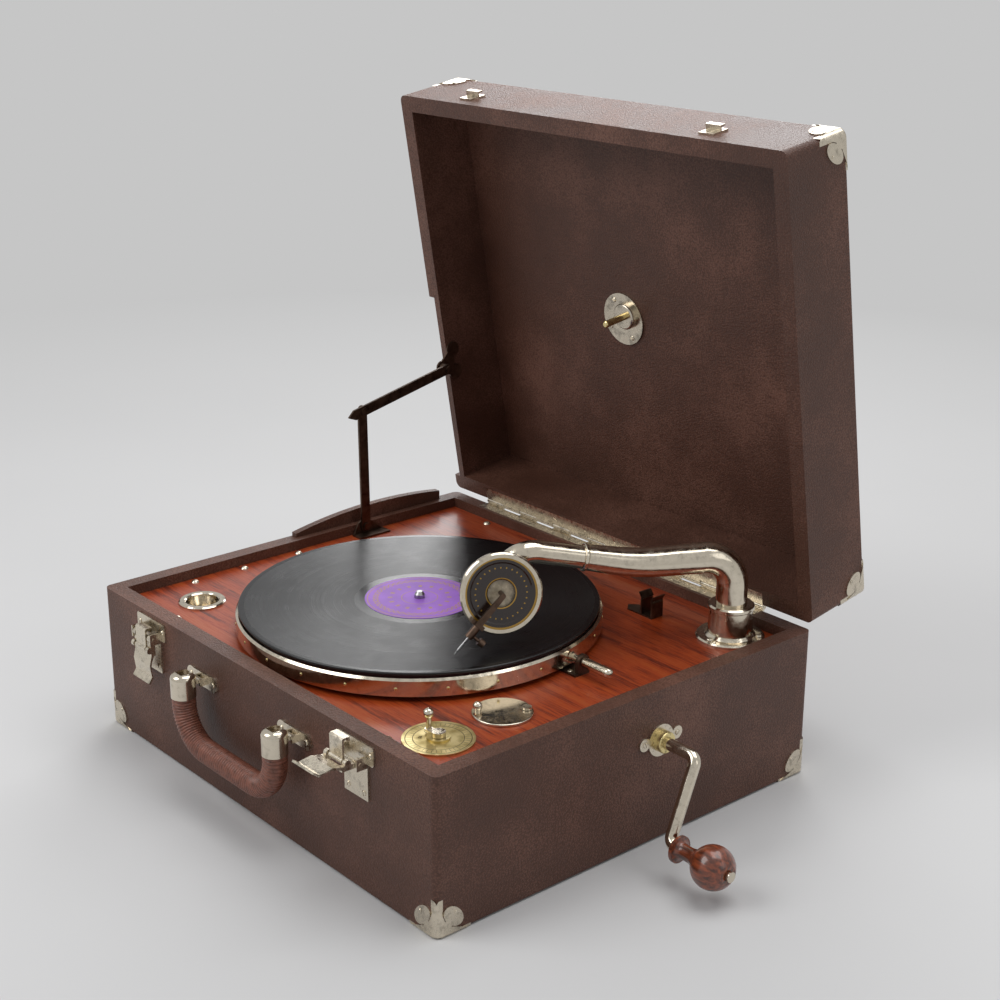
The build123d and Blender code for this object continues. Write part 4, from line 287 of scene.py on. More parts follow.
class Finish:
    """A material in the making: its shader, and the surface's own place for its patterns."""

    def __init__(self, name, **constants):
        self.material = bpy.data.materials.new(name)
        self.material.use_nodes = True
        self.tree = self.material.node_tree
        self.shader = self.tree.nodes["Principled BSDF"]
        for socket, value in constants.items():
            self.shader.inputs[socket.replace("_", " ")].default_value = value
        self.place = self.add("TexCoord").outputs["Object"]

    def add(self, kind, inputs=None, stops=(), **settings):
        """Adds a node to the material."""
        return add_node(self.tree, kind, inputs, stops, **settings)

    def wear(self, inputs):
        """Links what varies over the surface to the shader."""
        set_inputs(self.tree, self.shader, inputs)

    def emboss(self, height, depth, strength=1.0):
        """Raises the surface by a height from nought to one, times a depth in metres."""
        raised = self.add("Bump", {"Height": height, "Distance": depth, "Strength": strength})
        self.wear({"Normal": raised.outputs["Normal"]})

    def about(self, middle, first, second):
        """Distance from a middle and angle round it, in the plane of two directions."""
        away = self.add("VectorMath", {0: self.place, 1: middle}, operation="SUBTRACT")
        x = self.add("VectorMath", {0: away, 1: first}, operation="DOT_PRODUCT").outputs["Value"]
        y = self.add("VectorMath", {0: away, 1: second}, operation="DOT_PRODUCT").outputs["Value"]
        x_square = self.add("Math", {0: x, 1: x}, operation="MULTIPLY")
        squares = self.add("Math", {0: y, 1: y, 2: x_square}, operation="MULTIPLY_ADD")
        distance = self.add("Math", {0: squares}, operation="SQRT")
        return distance, self.add("Math", {0: y, 1: x}, operation="ARCTAN2")

    def line(self, value, middle, half, soft):
        """One within a half-width of a middle value, nought beyond it, with a soft edge."""
        shift = self.add("Math", {0: value, 1: middle}, operation="SUBTRACT")
        away = self.add("Math", {0: shift}, operation="ABSOLUTE")
        return self.add("MapRange", {"Value": away, "From Min": half + soft, "From Max": half - soft})

    def marks(self, angle, count, share):
        """One at so many even marks round a circle, each taking a share of its step."""
        turns = self.add("Math", {0: angle, 1: float(count)}, operation="MULTIPLY")
        wave = self.add("Math", {0: turns}, operation="SINE")
        edge = math.cos(math.pi * share)
        return self.add("MapRange", {"Value": wave, "From Min": edge - 0.02, "From Max": edge + 0.02})


def leathercloth():
    """Embossed nitrocellulose leathercloth glued over plywood."""
    # A pebbled grain with a low sheen, in soft lighter patches where it is rubbed
    finish = Finish("Leathercloth", Specular_IOR_Level=0.45)
    grain = 1 / sizes().cloth_grain
    drift = finish.add("TexNoise", {"Vector": finish.place, "Scale": grain * 0.6, "Detail": 2.0})
    push = (sizes().cloth_grain,) * 3
    moved = finish.add("VectorMath", {0: drift.outputs["Color"], 1: push, 2: finish.place},
                       operation="MULTIPLY_ADD")
    pebble = finish.add("TexVoronoi", {"Vector": moved, "Scale": grain})
    fine = finish.add("TexNoise", {"Vector": finish.place, "Scale": grain * 2.2, "Detail": 3.0})
    patches = finish.add("TexNoise", {"Vector": finish.place, "Scale": 11.0, "Detail": 5.0,
                                      "Roughness": 0.65})
    domes = finish.add("Math", {0: 1.0, 1: pebble}, operation="SUBTRACT")
    height = finish.add("Math", {0: fine, 1: 0.5, 2: domes}, operation="MULTIPLY_ADD")
    crest = finish.add("Math", {0: height, 1: 0.35}, operation="MULTIPLY")
    rub = finish.add("Math", {0: patches, 1: 0.9, 2: crest}, operation="MULTIPLY_ADD")
    base, worn = tuple(colours().cloth), tuple(colours().cloth_light)
    tone = finish.add("ValToRGB", {"Fac": rub}, stops=((0.42, shade(base, 0.7)), (0.7, base), (0.98, worn)))
    gloss = finish.add("Math", {0: patches, 1: 0.25, 2: 0.36}, operation="MULTIPLY_ADD")
    finish.wear({"Base Color": tone, "Roughness": gloss})
    finish.emboss(height, 0.00035, 0.8)
    return finish.material


def mahogany():
    """Flat-sawn mahogany, stained and varnished thin."""
    # Dark short pores along the board and broad soft bands, under an uneven gloss
    finish = Finish("Varnished_mahogany", Coat_Weight=0.3, Coat_Roughness=0.2, Specular_IOR_Level=0.4)
    lengthways = finish.add("Mapping", {"Vector": finish.place, "Scale": (0.06, 1.0, 1.0)})
    bands = finish.add("TexNoise", {"Vector": lengthways, "Scale": 1 / sizes().wood_band, "Detail": 5.0,
                                    "Distortion": 0.6})
    pores = finish.add("TexNoise", {"Vector": lengthways, "Scale": 1 / sizes().wood_pore, "Detail": 3.0,
                                    "Roughness": 0.7})
    broad = finish.add("Math", {0: bands, 1: 0.55}, operation="MULTIPLY")
    grain = finish.add("Math", {0: pores, 1: 0.5, 2: broad}, operation="MULTIPLY_ADD")
    stops = ((0.38, tuple(colours().mahogany_dark)), (0.53, tuple(colours().mahogany)),
             (0.7, tuple(colours().mahogany_light)))
    gloss = finish.add("Math", {0: pores, 1: -0.3, 2: 0.6}, operation="MULTIPLY_ADD")
    finish.wear({"Base Color": finish.add("ValToRGB", {"Fac": grain}, stops=stops), "Roughness": gloss})
    finish.emboss(pores, 0.0002, 0.5)
    return finish.material


def plated(name, metal, low, high, dirt=0.8):
    """Nickel plate on brass or steel, or plain polished metal, from a smooth to a rubbed roughness."""
    # Warm and bright, with fine cloudy spots where the plating has dulled
    finish = Finish(name, Metallic=1.0)
    cloud = finish.add("TexNoise", {"Vector": finish.place, "Scale": 220.0, "Detail": 6.0,
                                    "Roughness": 0.68})
    rough = finish.add("MapRange", {"Value": cloud, "From Min": 0.38, "From Max": 0.72, "To Min": low,
                                    "To Max": high})
    stops = ((0.34, shade(metal, dirt)), (0.46, metal), (0.8, shade(metal, 1.1)))
    finish.wear({"Base Color": finish.add("ValToRGB", {"Fac": cloud}, stops=stops), "Roughness": rough})
    finish.emboss(cloud, 0.00006, 0.3)
    return finish.material


def shellac():
    """Shellac and slate dust, pressed hot in a polished mould."""
    # Near black and glossy, with grooves that draw the light into a fan
    finish = Finish("Pressed_shellac", Anisotropic=0.75, Base_Color=(*colours().shellac, 1))
    radius, _ = finish.about(middle_of("record"), RIGHTWARD, -FRONTWARD)
    turns = finish.add("Math", {0: radius, 1: math.tau / sizes().groove}, operation="MULTIPLY")
    groove = finish.add("Math", {0: turns}, operation="SINE")
    passage = finish.add("Math", {0: radius, 1: 700.0}, operation="MULTIPLY")
    loudness = finish.add("TexNoise", {"W": passage, "Detail": 2.0}, noise_dimensions="1D")
    inner = finish.add("MapRange", {"Value": radius, "From Min": GROOVES_INNER - GROOVES_LEAD,
                                    "From Max": GROOVES_INNER + GROOVES_LEAD})
    outer = finish.add("MapRange", {"Value": radius, "From Min": GROOVES_OUTER + GROOVES_LEAD,
                                    "From Max": GROOVES_OUTER - GROOVES_LEAD})
    grooved = finish.add("Math", {0: inner, 1: outer}, operation="MULTIPLY", use_clamp=True)
    cut = finish.add("Math", {0: groove, 1: grooved}, operation="MULTIPLY", use_clamp=True)
    dust = finish.add("TexNoise", {"Vector": finish.place, "Scale": 60.0, "Detail": 6.0})
    base = finish.add("Math", {0: dust, 1: 0.12, 2: 0.08}, operation="MULTIPLY_ADD")
    uneven = finish.add("Math", {0: loudness, 1: 0.16, 2: base}, operation="MULTIPLY_ADD")
    rough = finish.add("Math", {0: grooved, 1: 0.08, 2: uneven}, operation="MULTIPLY_ADD")
    round_the_hole = finish.add("Tangent", direction_type="RADIAL", axis="Z")
    finish.wear({"Roughness": rough, "Tangent": round_the_hole})
    finish.emboss(cut, 0.00005, 0.4)
    return finish.material


def middle_of(node):
    """The middle of a node's box."""
    low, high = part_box(node)
    return (low + high) / 2


def printed_label():
    """Coated label paper, pressed into the record."""
    # A plain ground with rings, a plaited band and a row of dots, all in worn gold ink
    finish = Finish("Printed_label_paper", Roughness=0.5)
    radius, angle = finish.about(middle_of("record"), RIGHTWARD, -FRONTWARD)
    edge = finish.line(radius, LABEL_EDGE, 0.0004, 0.00008)
    hole = finish.line(radius, LABEL_HOLE, 0.0003, 0.00008)
    turns = finish.add("Math", {0: angle, 1: PLAIT_TURNS}, operation="MULTIPLY")
    wave = finish.add("Math", {0: turns}, operation="SINE")
    outward = finish.add("Math", {0: wave, 1: PLAIT_SWING, 2: radius}, operation="MULTIPLY_ADD")
    inward = finish.add("Math", {0: wave, 1: -PLAIT_SWING, 2: radius}, operation="MULTIPLY_ADD")
    first_strand = finish.line(outward, PLAIT_RING, 0.0006, 0.0002)
    second_strand = finish.line(inward, PLAIT_RING, 0.0006, 0.0002)
    sectors = finish.marks(angle, DOTS, 0.3)
    band = finish.line(radius, DOT_RING, 0.0016, 0.0002)
    pattern = finish.add("Math", {0: sectors, 1: band}, operation="MULTIPLY", use_clamp=True)
    for mask in (edge, hole, first_strand, second_strand):
        pattern = finish.add("Math", {0: pattern, 1: mask}, operation="MAXIMUM", use_clamp=True)
    worn = finish.add("TexNoise", {"Vector": finish.place, "Scale": 500.0, "Detail": 4.0})
    left = finish.add("Math", {0: worn, 1: 0.8, 2: 0.35}, operation="MULTIPLY_ADD")
    ink = finish.add("Math", {0: pattern, 1: left}, operation="MULTIPLY", use_clamp=True)
    faded = finish.add("TexNoise", {"Vector": finish.place, "Scale": 45.0, "Detail": 4.0})
    label = tuple(colours().label)
    stops = ((0.35, shade(label, 0.85)), (0.7, shade(label, 1.2)))
    ground = finish.add("ValToRGB", {"Fac": faded}, stops=stops)
    printed = finish.add("Mix", {0: ink, MIX_GROUND: ground, MIX_INK: (*colours().gold_ink, 1)},
                         data_type="RGBA")
    finish.wear({"Base Color": printed.outputs[MIX_RESULT]})
    finish.emboss(worn, 0.00003, 0.3)
    return finish.material


def dial_brass():
    """Rolled brass with a cut scale, lacquered."""
    # Yellow metal under brown clouds, with dark cut marks and rings
    finish = Finish("Engraved_brass", Metallic=1.0)
    radius, angle = finish.about(middle_of("speed_dial"), RIGHTWARD, -FRONTWARD)
    sectors = finish.marks(angle, TICKS, 0.09)
    band = finish.line(radius, TICK_RING, 0.0018, 0.0001)
    cut = finish.add("Math", {0: sectors, 1: band}, operation="MULTIPLY", use_clamp=True)
    for middle, half in DIAL_RINGS:
        ring = finish.line(radius, middle, half, 0.00006)
        cut = finish.add("Math", {0: cut, 1: ring}, operation="MAXIMUM", use_clamp=True)
    cloud = finish.add("TexNoise", {"Vector": finish.place, "Scale": 110.0, "Detail": 6.0})
    dull = tuple(colours().brass_dull)
    tone = finish.add("ValToRGB", {"Fac": cloud}, stops=((0.35, dull), (0.6, tuple(colours().brass))))
    rough = finish.add("Math", {0: cloud, 1: -0.3, 2: 0.5}, operation="MULTIPLY_ADD")
    engraved = finish.add("Mix", {0: cut, MIX_GROUND: tone, MIX_INK: (*shade(dull, 0.2), 1)},
                          data_type="RGBA")
    finish.wear({"Base Color": engraved.outputs[MIX_RESULT], "Roughness": rough})
    smooth = finish.add("Math", {0: 1.0, 1: cut}, operation="SUBTRACT")
    finish.emboss(smooth, 0.0001, 0.6)
    return finish.material


def turned_wood():
    """Beech, turned, stained and varnished."""
    # Dark red-brown with faint fibres along the knob's axis, under a deep gloss
    finish = Finish("Varnished_turned_wood", Coat_Weight=0.8, Coat_Roughness=0.08)
    lengthways = finish.add("Mapping", {"Vector": finish.place, "Scale": (0.12, 1.0, 1.0)})
    fibre = finish.add("TexNoise", {"Vector": lengthways, "Scale": 420.0, "Detail": 5.0, "Distortion": 0.4})
    base = tuple(colours().knob)
    stops = ((0.35, shade(base, 0.35)), (0.5, base), (0.68, shade(base, 1.9)))
    rough = finish.add("Math", {0: fibre, 1: 0.2, 2: 0.25}, operation="MULTIPLY_ADD")
    finish.wear({"Base Color": finish.add("ValToRGB", {"Fac": fibre}, stops=stops), "Roughness": rough})
    finish.emboss(fibre, 0.00008, 0.3)
    return finish.material


def clouded(name, base, scale, low, high, depth, **constants):
    """Leather, felt, paint or oxide: one colour with a cloud of its own size and a fine tooth."""
    # Slightly uneven in colour and gloss, so that no face looks flat
    finish = Finish(name, **constants)
    cloud = finish.add("TexNoise", {"Vector": finish.place, "Scale": scale, "Detail": 6.0,
                                    "Roughness": 0.65})
    stops = ((0.34, shade(base, 0.6)), (0.52, base), (0.75, shade(base, 1.5)))
    rough = finish.add("MapRange", {"Value": cloud, "From Min": 0.3, "From Max": 0.7, "To Min": low,
                                    "To Max": high})
    finish.wear({"Base Color": finish.add("ValToRGB", {"Fac": cloud}, stops=stops), "Roughness": rough})
    finish.emboss(cloud, depth, 0.5)
    return finish.material


def face_enamel():
    """Brown stoving enamel on a spun ring, with gilded borders."""
    # Dark and glossy, between a gold border, a ring of gold beads and a gold line round the hole
    finish = Finish("Enamelled_face_ring", Coat_Weight=0.5, Coat_Roughness=0.1)
    along = (NEEDLE_TIP - FACE).normalized()
    across = along.cross(FACE_OUT).normalized()
    radius, angle = finish.about(FACE, across.cross(FACE_OUT).normalized(), across)
    sectors = finish.marks(angle, BEADS, 0.22)
    band = finish.line(radius, BEAD_RING, 0.0005, 0.0002)
    gold = finish.add("Math", {0: sectors, 1: band}, operation="MULTIPLY", use_clamp=True)
    for middle, half in ((FACE_BORDER, 0.0008), (FACE_EDGE, 0.0004)):
        ring = finish.line(radius, middle, half, 0.0001)
        gold = finish.add("Math", {0: gold, 1: ring}, operation="MAXIMUM", use_clamp=True)
    gilded = finish.add("Mix", {0: gold, MIX_GROUND: (*colours().enamel, 1),
                                MIX_INK: (*colours().gold_ink, 1)},
                        data_type="RGBA")
    metal = finish.add("Math", {0: gold, 1: 0.85}, operation="MULTIPLY")
    rough = finish.add("Math", {0: gold, 1: 0.1, 2: 0.25}, operation="MULTIPLY_ADD")
    finish.wear({"Base Color": gilded.outputs[MIX_RESULT], "Metallic": metal, "Roughness": rough})
    return finish.material


def holder_metal():
    """Nickelled plate and hub with a bare brass pin, as one node of the model."""
    # Silver white, with the yellow pin standing out of it
    finish = Finish("Nickel_with_brass_pin", Metallic=1.0)
    pin = as_open(Vector((*HOLDER_PIN, LID_CEILING)) * MM)
    direction = as_open(Vector((*HOLDER_PIN, LID_CEILING + 1)) * MM) - pin
    radius, _ = finish.about(pin, RIGHTWARD, direction.cross(RIGHTWARD).normalized())
    inside = finish.line(radius, 0.0, PIN_RADIUS, 0.00005)
    cloud = finish.add("TexNoise", {"Vector": finish.place, "Scale": 140.0, "Detail": 6.0})
    nickel = tuple(colours().nickel)
    tone = finish.add("ValToRGB", {"Fac": cloud}, stops=((0.35, shade(nickel, 0.6)), (0.5, nickel)))
    rough = finish.add("Math", {0: cloud, 1: 0.35, 2: 0.08}, operation="MULTIPLY_ADD")
    joined = finish.add("Mix", {0: inside, MIX_GROUND: tone, MIX_INK: (*colours().brass, 1)},
                        data_type="RGBA")
    finish.wear({"Base Color": joined.outputs[MIX_RESULT], "Roughness": rough})
    return finish.material


def seen_rays(tree):
    """One for the rays that the eye follows: straight, mirrored, or through something clear."""
    path = add_node(tree, "LightPath")
    seen = path.outputs["Is Camera Ray"]
    for way in ("Is Glossy Ray", "Is Transmission Ray"):
        seen = add_node(tree, "Math", {0: seen, 1: path.outputs[way]}, operation="MAXIMUM")
    return seen


def paper_floor():
    """Seamless background paper."""
    # Pale, even and matt, and away from the object as bright to the eye as the backdrop
    finish = Finish("Background_paper", Roughness=0.9, Specular_IOR_Level=0.1)
    mottle = finish.add("TexNoise", {"Vector": finish.place, "Scale": 3.0, "Detail": 3.0})
    base = tuple(colours().floor)
    tone = finish.add("ValToRGB", {"Fac": mottle}, stops=((0.3, shade(base, 0.97)), (0.7, base)))
    finish.wear({"Base Color": tone})
    away = finish.add("VectorMath", {0: finish.place}, operation="LENGTH").outputs["Value"]
    far = finish.add("MapRange", {"Value": away, "From Min": FLOOR_NEAR, "From Max": FLOOR_FAR})
    backdrop = finish.add("Emission", {"Color": (*colours().backdrop, 1)})
    share = finish.add("Math", {0: far, 1: seen_rays(finish.tree)}, operation="MULTIPLY", use_clamp=True)
    whole = finish.add("MixShader", {0: share, 1: finish.shader, 2: backdrop})
    set_inputs(finish.tree, finish.tree.nodes["Material Output"], {"Surface": whole})
    return finish.material


def as_open(point):
    """Where a point of the shut lid is now that the lid stands open."""
    hinge = Vector((0, HINGE_Y, HINGE_Z)) * MM
    return Matrix.Rotation(-math.radians(LID_OPEN), 3, "X") @ (point - hinge) + hinge


def piece(name, shape, finish, body, sharp=35):
    """Makes a finished piece of a bmesh, and puts it on its body."""
    mesh = bpy.data.meshes.new(name)
    shape.to_mesh(mesh)
    shape.free()
    mesh.materials.append(finish)
    mesh.shade_smooth()
    mesh.set_sharp_from_angle(angle=math.radians(sharp))
    made = bpy.data.objects.new(name, mesh)
    bpy.context.scene.collection.objects.link(made)
    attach(made, body)
    return made


def lathe(profile, segments):
    """A closed turned shape from points of radius and height, the first and last of them on the axis."""
    shape = bmesh.new()
    corners = [shape.verts.new((radius, 0, height)) for radius, height in profile]
    edges = [shape.edges.new(pair) for pair in zip(corners, corners[1:])]
    bmesh.ops.spin(shape, geom=corners + edges, cent=(0, 0, 0), axis=(0, 0, 1), dvec=(0, 0, 0),
                   angle=math.tau, steps=segments, use_merge=True, use_duplicate=False)
    bmesh.ops.remove_doubles(shape, verts=shape.verts, dist=MERGE)
    bmesh.ops.recalc_face_normals(shape, faces=shape.faces)
    return shape


def domed_head(radius, rise):
    """A plain domed nail or rivet head, standing on the plane through the origin."""
    profile = ((0, -HEAD_SUNK), (radius, -HEAD_SUNK), (radius, rise * 0.3), (radius * 0.75, rise * 0.8),
               (0, rise))
    return lathe(profile, 14)


def slotted_head(radius, rise):
    """A screw's head with its slot cut across."""
    profile = ((0, -HEAD_SUNK), (radius, -HEAD_SUNK), (radius, rise * 0.4), (radius * 0.8, rise * 0.85),
               (0, rise))
    shape = lathe(profile, 18)
    half_slot = radius * SLOT_HALF
    for side in (-half_slot, half_slot):
        geometry = shape.verts[:] + shape.edges[:] + shape.faces[:]
        bmesh.ops.bisect_plane(shape, geom=geometry, plane_co=(side, 0, 0), plane_no=(1, 0, 0))
    floor = [face for face in shape.faces
             if abs(face.calc_center_median().x) < half_slot and face.normal.z > 0.3]
    sunk = bmesh.ops.extrude_face_region(shape, geom=floor)
    moved = [item for item in sunk["geom"] if isinstance(item, bmesh.types.BMVert)]
    bmesh.ops.translate(shape, verts=moved, vec=(0, 0, -rise * SLOT_DEPTH))
    bmesh.ops.delete(shape, geom=floor, context="FACES")
    return shape


def spread(head, places):
    """Copies of a head at places, each place with the way it looks and its turn in degrees."""
    pattern = bpy.data.meshes.new("head")
    head.to_mesh(pattern)
    head.free()
    group = bmesh.new()
    for place, outward, turn in places:
        copy = pattern.copy()
        facing = outward.to_track_quat("Z", "Y").to_matrix().to_4x4()
        copy.transform(Matrix.Translation(place) @ facing @ Matrix.Rotation(math.radians(turn), 4, "Z"))
        group.from_mesh(copy)
        bpy.data.meshes.remove(copy)
    bpy.data.meshes.remove(pattern)
    return group


def at(x, y, z, outward, turn):
    """A place in millimetres with the way it looks and its turn."""
    return Vector((x, y, z)) * MM, outward, turn


def on_circle(middle, radius, bearing):
    """A point of a circle round a middle in the plan, at a bearing in degrees."""
    angle = math.radians(bearing)
    return middle[0] + radius * math.cos(angle), middle[1] + radius * math.sin(angle)


def in_lid(x, y, z, outward, turn):
    """The same for something of the lid, given as if the lid were shut."""
    place = Vector((x, y, z)) * MM
    return as_open(place), (as_open(place + outward) - as_open(place)).normalized(), turn


class GRAMOPHONE_OT_stage(Operator):
    """Sets the floor, the soft lamps and the photograph's camera"""
    bl_idname = "gramophone.stage"
    bl_label = "Stage"

    def execute(self, context):
        scene = context.scene
        self.lay_floor(scene)
        self.set_camera(scene)
        for name, (place, side, watts) in LAMPS.items():
            self.hang_lamp(scene, name, place, side, watts)
        self.light_room(scene)
        scene.view_settings.view_transform = "Standard"
        return {"FINISHED"}

    def lay_floor(self, scene):
        """A round sheet of paper under the object."""
        shape = bmesh.new()
        bmesh.ops.create_circle(shape, cap_ends=True, segments=96, radius=FLOOR_RADIUS)
        mesh = bpy.data.meshes.new("floor")
        shape.to_mesh(mesh)
        shape.free()
        mesh.materials.append(paper_floor())
        floor = bpy.data.objects.new("floor", mesh)
        scene.collection.objects.link(floor)

    def set_camera(self, scene):
        """The camera where the photograph was taken from."""
        camera = bpy.data.objects.new("camera", bpy.data.cameras.new("camera"))
        camera.data.lens = CAMERA_LENS
        camera.location = CAMERA_PLACE
        azimuth, elevation = math.radians(CAMERA_AZIMUTH), math.radians(CAMERA_ELEVATION)
        back = Vector((math.sin(azimuth) * math.cos(elevation), -math.cos(azimuth) * math.cos(elevation),
                       math.sin(elevation)))
        roll = Matrix.Rotation(math.radians(CAMERA_ROLL), 3, "Z")
        camera.rotation_euler = (back.to_track_quat("Z", "Y").to_matrix() @ roll).to_euler()
        scene.collection.objects.link(camera)
        scene.camera = camera

    def hang_lamp(self, scene, name, place, side, watts):
        """One square softbox that looks at the object's middle."""
        light = bpy.data.lights.new(name, "AREA")
        light.size = side
        light.energy = watts
        lamp = bpy.data.objects.new(name, light)
        lamp.location = place
        away = Vector(place) - LAMP_AIM
        lamp.rotation_euler = away.to_track_quat("Z", "Y").to_euler()
        scene.collection.objects.link(lamp)

    def light_room(self, scene):
        """Soft light from all round, which the eye sees as the even backdrop."""
        world = bpy.data.worlds.new("studio")
        world.use_nodes = True
        tree = world.node_tree
        fill = tree.nodes["Background"]
        set_inputs(tree, fill, {"Color": (*colours().fill, 1), "Strength": FILL_STRENGTH})
        backdrop = add_node(tree, "Background", {"Color": (*colours().backdrop, 1)})
        whole = add_node(tree, "MixShader", {0: seen_rays(tree), 1: fill, 2: backdrop})
        set_inputs(tree, tree.nodes["World Output"], {"Surface": whole})
        scene.world = world


class GRAMOPHONE_OT_finishes(Operator):
    """Gives every solid of the model its real finish"""
    bl_idname = "gramophone.finishes"
    bl_label = "Finishes"

    def execute(self, context):
        nickel = tuple(colours().nickel)
        bright = plated("Bright_nickel_plate", nickel, 0.08, 0.28)
        rubbed = plated("Rubbed_nickel_plate", nickel, 0.18, 0.45, dirt=0.65)
        brass = plated("Bare_brass", tuple(colours().brass), 0.2, 0.45, dirt=0.5)
        steel = plated("Ground_steel", tuple(colours().steel), 0.25, 0.45)
        finishes = {
            leathercloth(): ("case_shell", "bottom_board", "sound_flap", "lid_shell"),
            mahogany(): ("motor_board",),
            bright: ("tonearm", "tonearm_foot", "gooseneck", "soundbox_body", "turntable", "crank",
                     "handle_caps",
                     "needle_box_lid", "needle_cups", "speed_lever", "brake_rod"),
            rubbed: ("base_corner_caps", "lid_corner_caps", "lid_catches", "latch_plates",
                     "latch_lever_left",
                     "latch_lever_right", "latch_claw_left", "latch_claw_right", "handle_plates",
                     "handle_links",
                     "crank_escutcheon", "hinge_base_leaf", "hinge_lid_leaf", "hinge_pins", "board_screws"),
            brass: ("crank_bush", "middle_wheel", "governor"),
            steel: ("spindle", "barrel_arbor", "spring_barrel", "motor_plates", "motor_pillars",
                    "speed_arm",
                    "winding_worm", "needle"),
            clouded("Browned_steel", tuple(colours().browned), 160.0, 0.25, 0.5, 0.00008, Metallic=0.9):
                ("stay_foot", "stay_lower_link", "stay_upper_link", "stay_lid_bracket", "crank_clip",
                 "brake_bracket", "needle_bar"),
            clouded("Blued_spring_steel", tuple(colours().blued), 200.0, 0.25, 0.4, 0.00005, Metallic=1.0):
                ("mainspring",),
            clouded("Black_stoved_sheet", tuple(colours().stoved), 90.0, 0.35, 0.55, 0.0001): ("sound_horn",
                                                                                               ),
            clouded("Wool_felt", tuple(colours().felt), 900.0, 0.85, 1.0, 0.0006, Sheen_Weight=0.5):
                ("turntable_felt",),
            clouded("Handle_leather", tuple(colours().grip), 260.0, 0.28, 0.5, 0.0003): ("handle_grip",),
            clouded("Mica_sheet", tuple(colours().mica), 200.0, 0.15, 0.3, 0.00003): ("soundbox_diaphragm",
                                                                                      ),
            shellac(): ("record",),
            printed_label(): ("record_label",),
            dial_brass(): ("speed_dial",),
            turned_wood(): ("crank_knob",),
            face_enamel(): ("soundbox_face",),
            holder_metal(): ("record_holder",),
        }
        bare = set(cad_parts)
        for finish, nodes in finishes.items():
            for node in nodes:
                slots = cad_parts[node].material_slots
                for slot in slots:
                    slot.material = finish
                bare.discard(node)
        if bare:
            raise RuntimeError(f"no finish for {sorted(bare)}")
        return {"FINISHED"}


class GRAMOPHONE_OT_grip(Operator):
    """Covers the carrying handle in ribbed leather"""
    bl_idname = "gramophone.grip"
    bl_label = "Handle grip"

    def execute(self, context):
        crest = sizes().grip_radius
        valley = crest - sizes().grip_rib_depth
        straight = (GRIP_END_Z - GRIP_LOW_Z - GRIP_CORNER) * MM
        arc = math.pi / 2 * GRIP_CORNER * MM
        run = (HANDLE_MIDDLES[1] - HANDLE_MIDDLES[0] - 2 * GRIP_CORNER) * MM
        total = 2 * straight + 2 * arc + run
        ribs = round(total / sizes().grip_rib)
        step = total / ribs
        profile = [(0, 0)]
        for rib in range(ribs):
            profile += [(valley, (rib + 0.02) * step), (crest - 0.0001, (rib + 0.28) * step),
                        (crest, (rib + 0.5) * step), (crest - 0.0001, (rib + 0.72) * step)]
        profile += [(valley, total), (0, total)]
        shape = lathe(profile, 28)
        for vert in shape.verts:
            vert.co = self.bend(vert.co, straight, arc, run)
        bmesh.ops.recalc_face_normals(shape, faces=shape.faces)
        leather = clouded("Ribbed_handle_leather", tuple(colours().grip), 260.0, 0.24, 0.48, 0.0003)
        grip = piece("ribbed_grip", shape, leather, "handle", sharp=70)
        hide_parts("handle_grip")
        return {"FINISHED"}

    def bend(self, point, straight, arc, run):
        """Carries a point of the straight grip, at its distance along, to the bent one."""
        corner = GRIP_CORNER * MM
        left, right = (x * MM for x in HANDLE_MIDDLES)
        low = GRIP_LOW_Z * MM
        along = point.z
        if along < straight:
            centre, turn = Vector((left, 0, GRIP_END_Z * MM - along)), 0.0
        elif along < straight + arc:
            turn = (along - straight) / corner
            centre = Vector((left + corner - corner * math.cos(turn), 0,
                             low + corner - corner * math.sin(turn)))
        elif along < straight + arc + run:
            centre, turn = Vector((left + corner + along - straight - arc, 0, low)), math.pi / 2
        elif along < straight + 2 * arc + run:
            beyond = (along - straight - arc - run) / corner
            turn = math.pi / 2 + beyond
            centre = Vector((right - corner + corner * math.sin(beyond), 0,
                             low + corner - corner * math.cos(beyond)))
        else:
            centre, turn = Vector((right, 0, low + corner + along - straight - 2 * arc - run)), math.pi
        inward = Vector((math.cos(turn), 0, math.sin(turn)))
        return centre + inward * point.x + Vector((0, GRIP_Y * MM + point.y, 0))


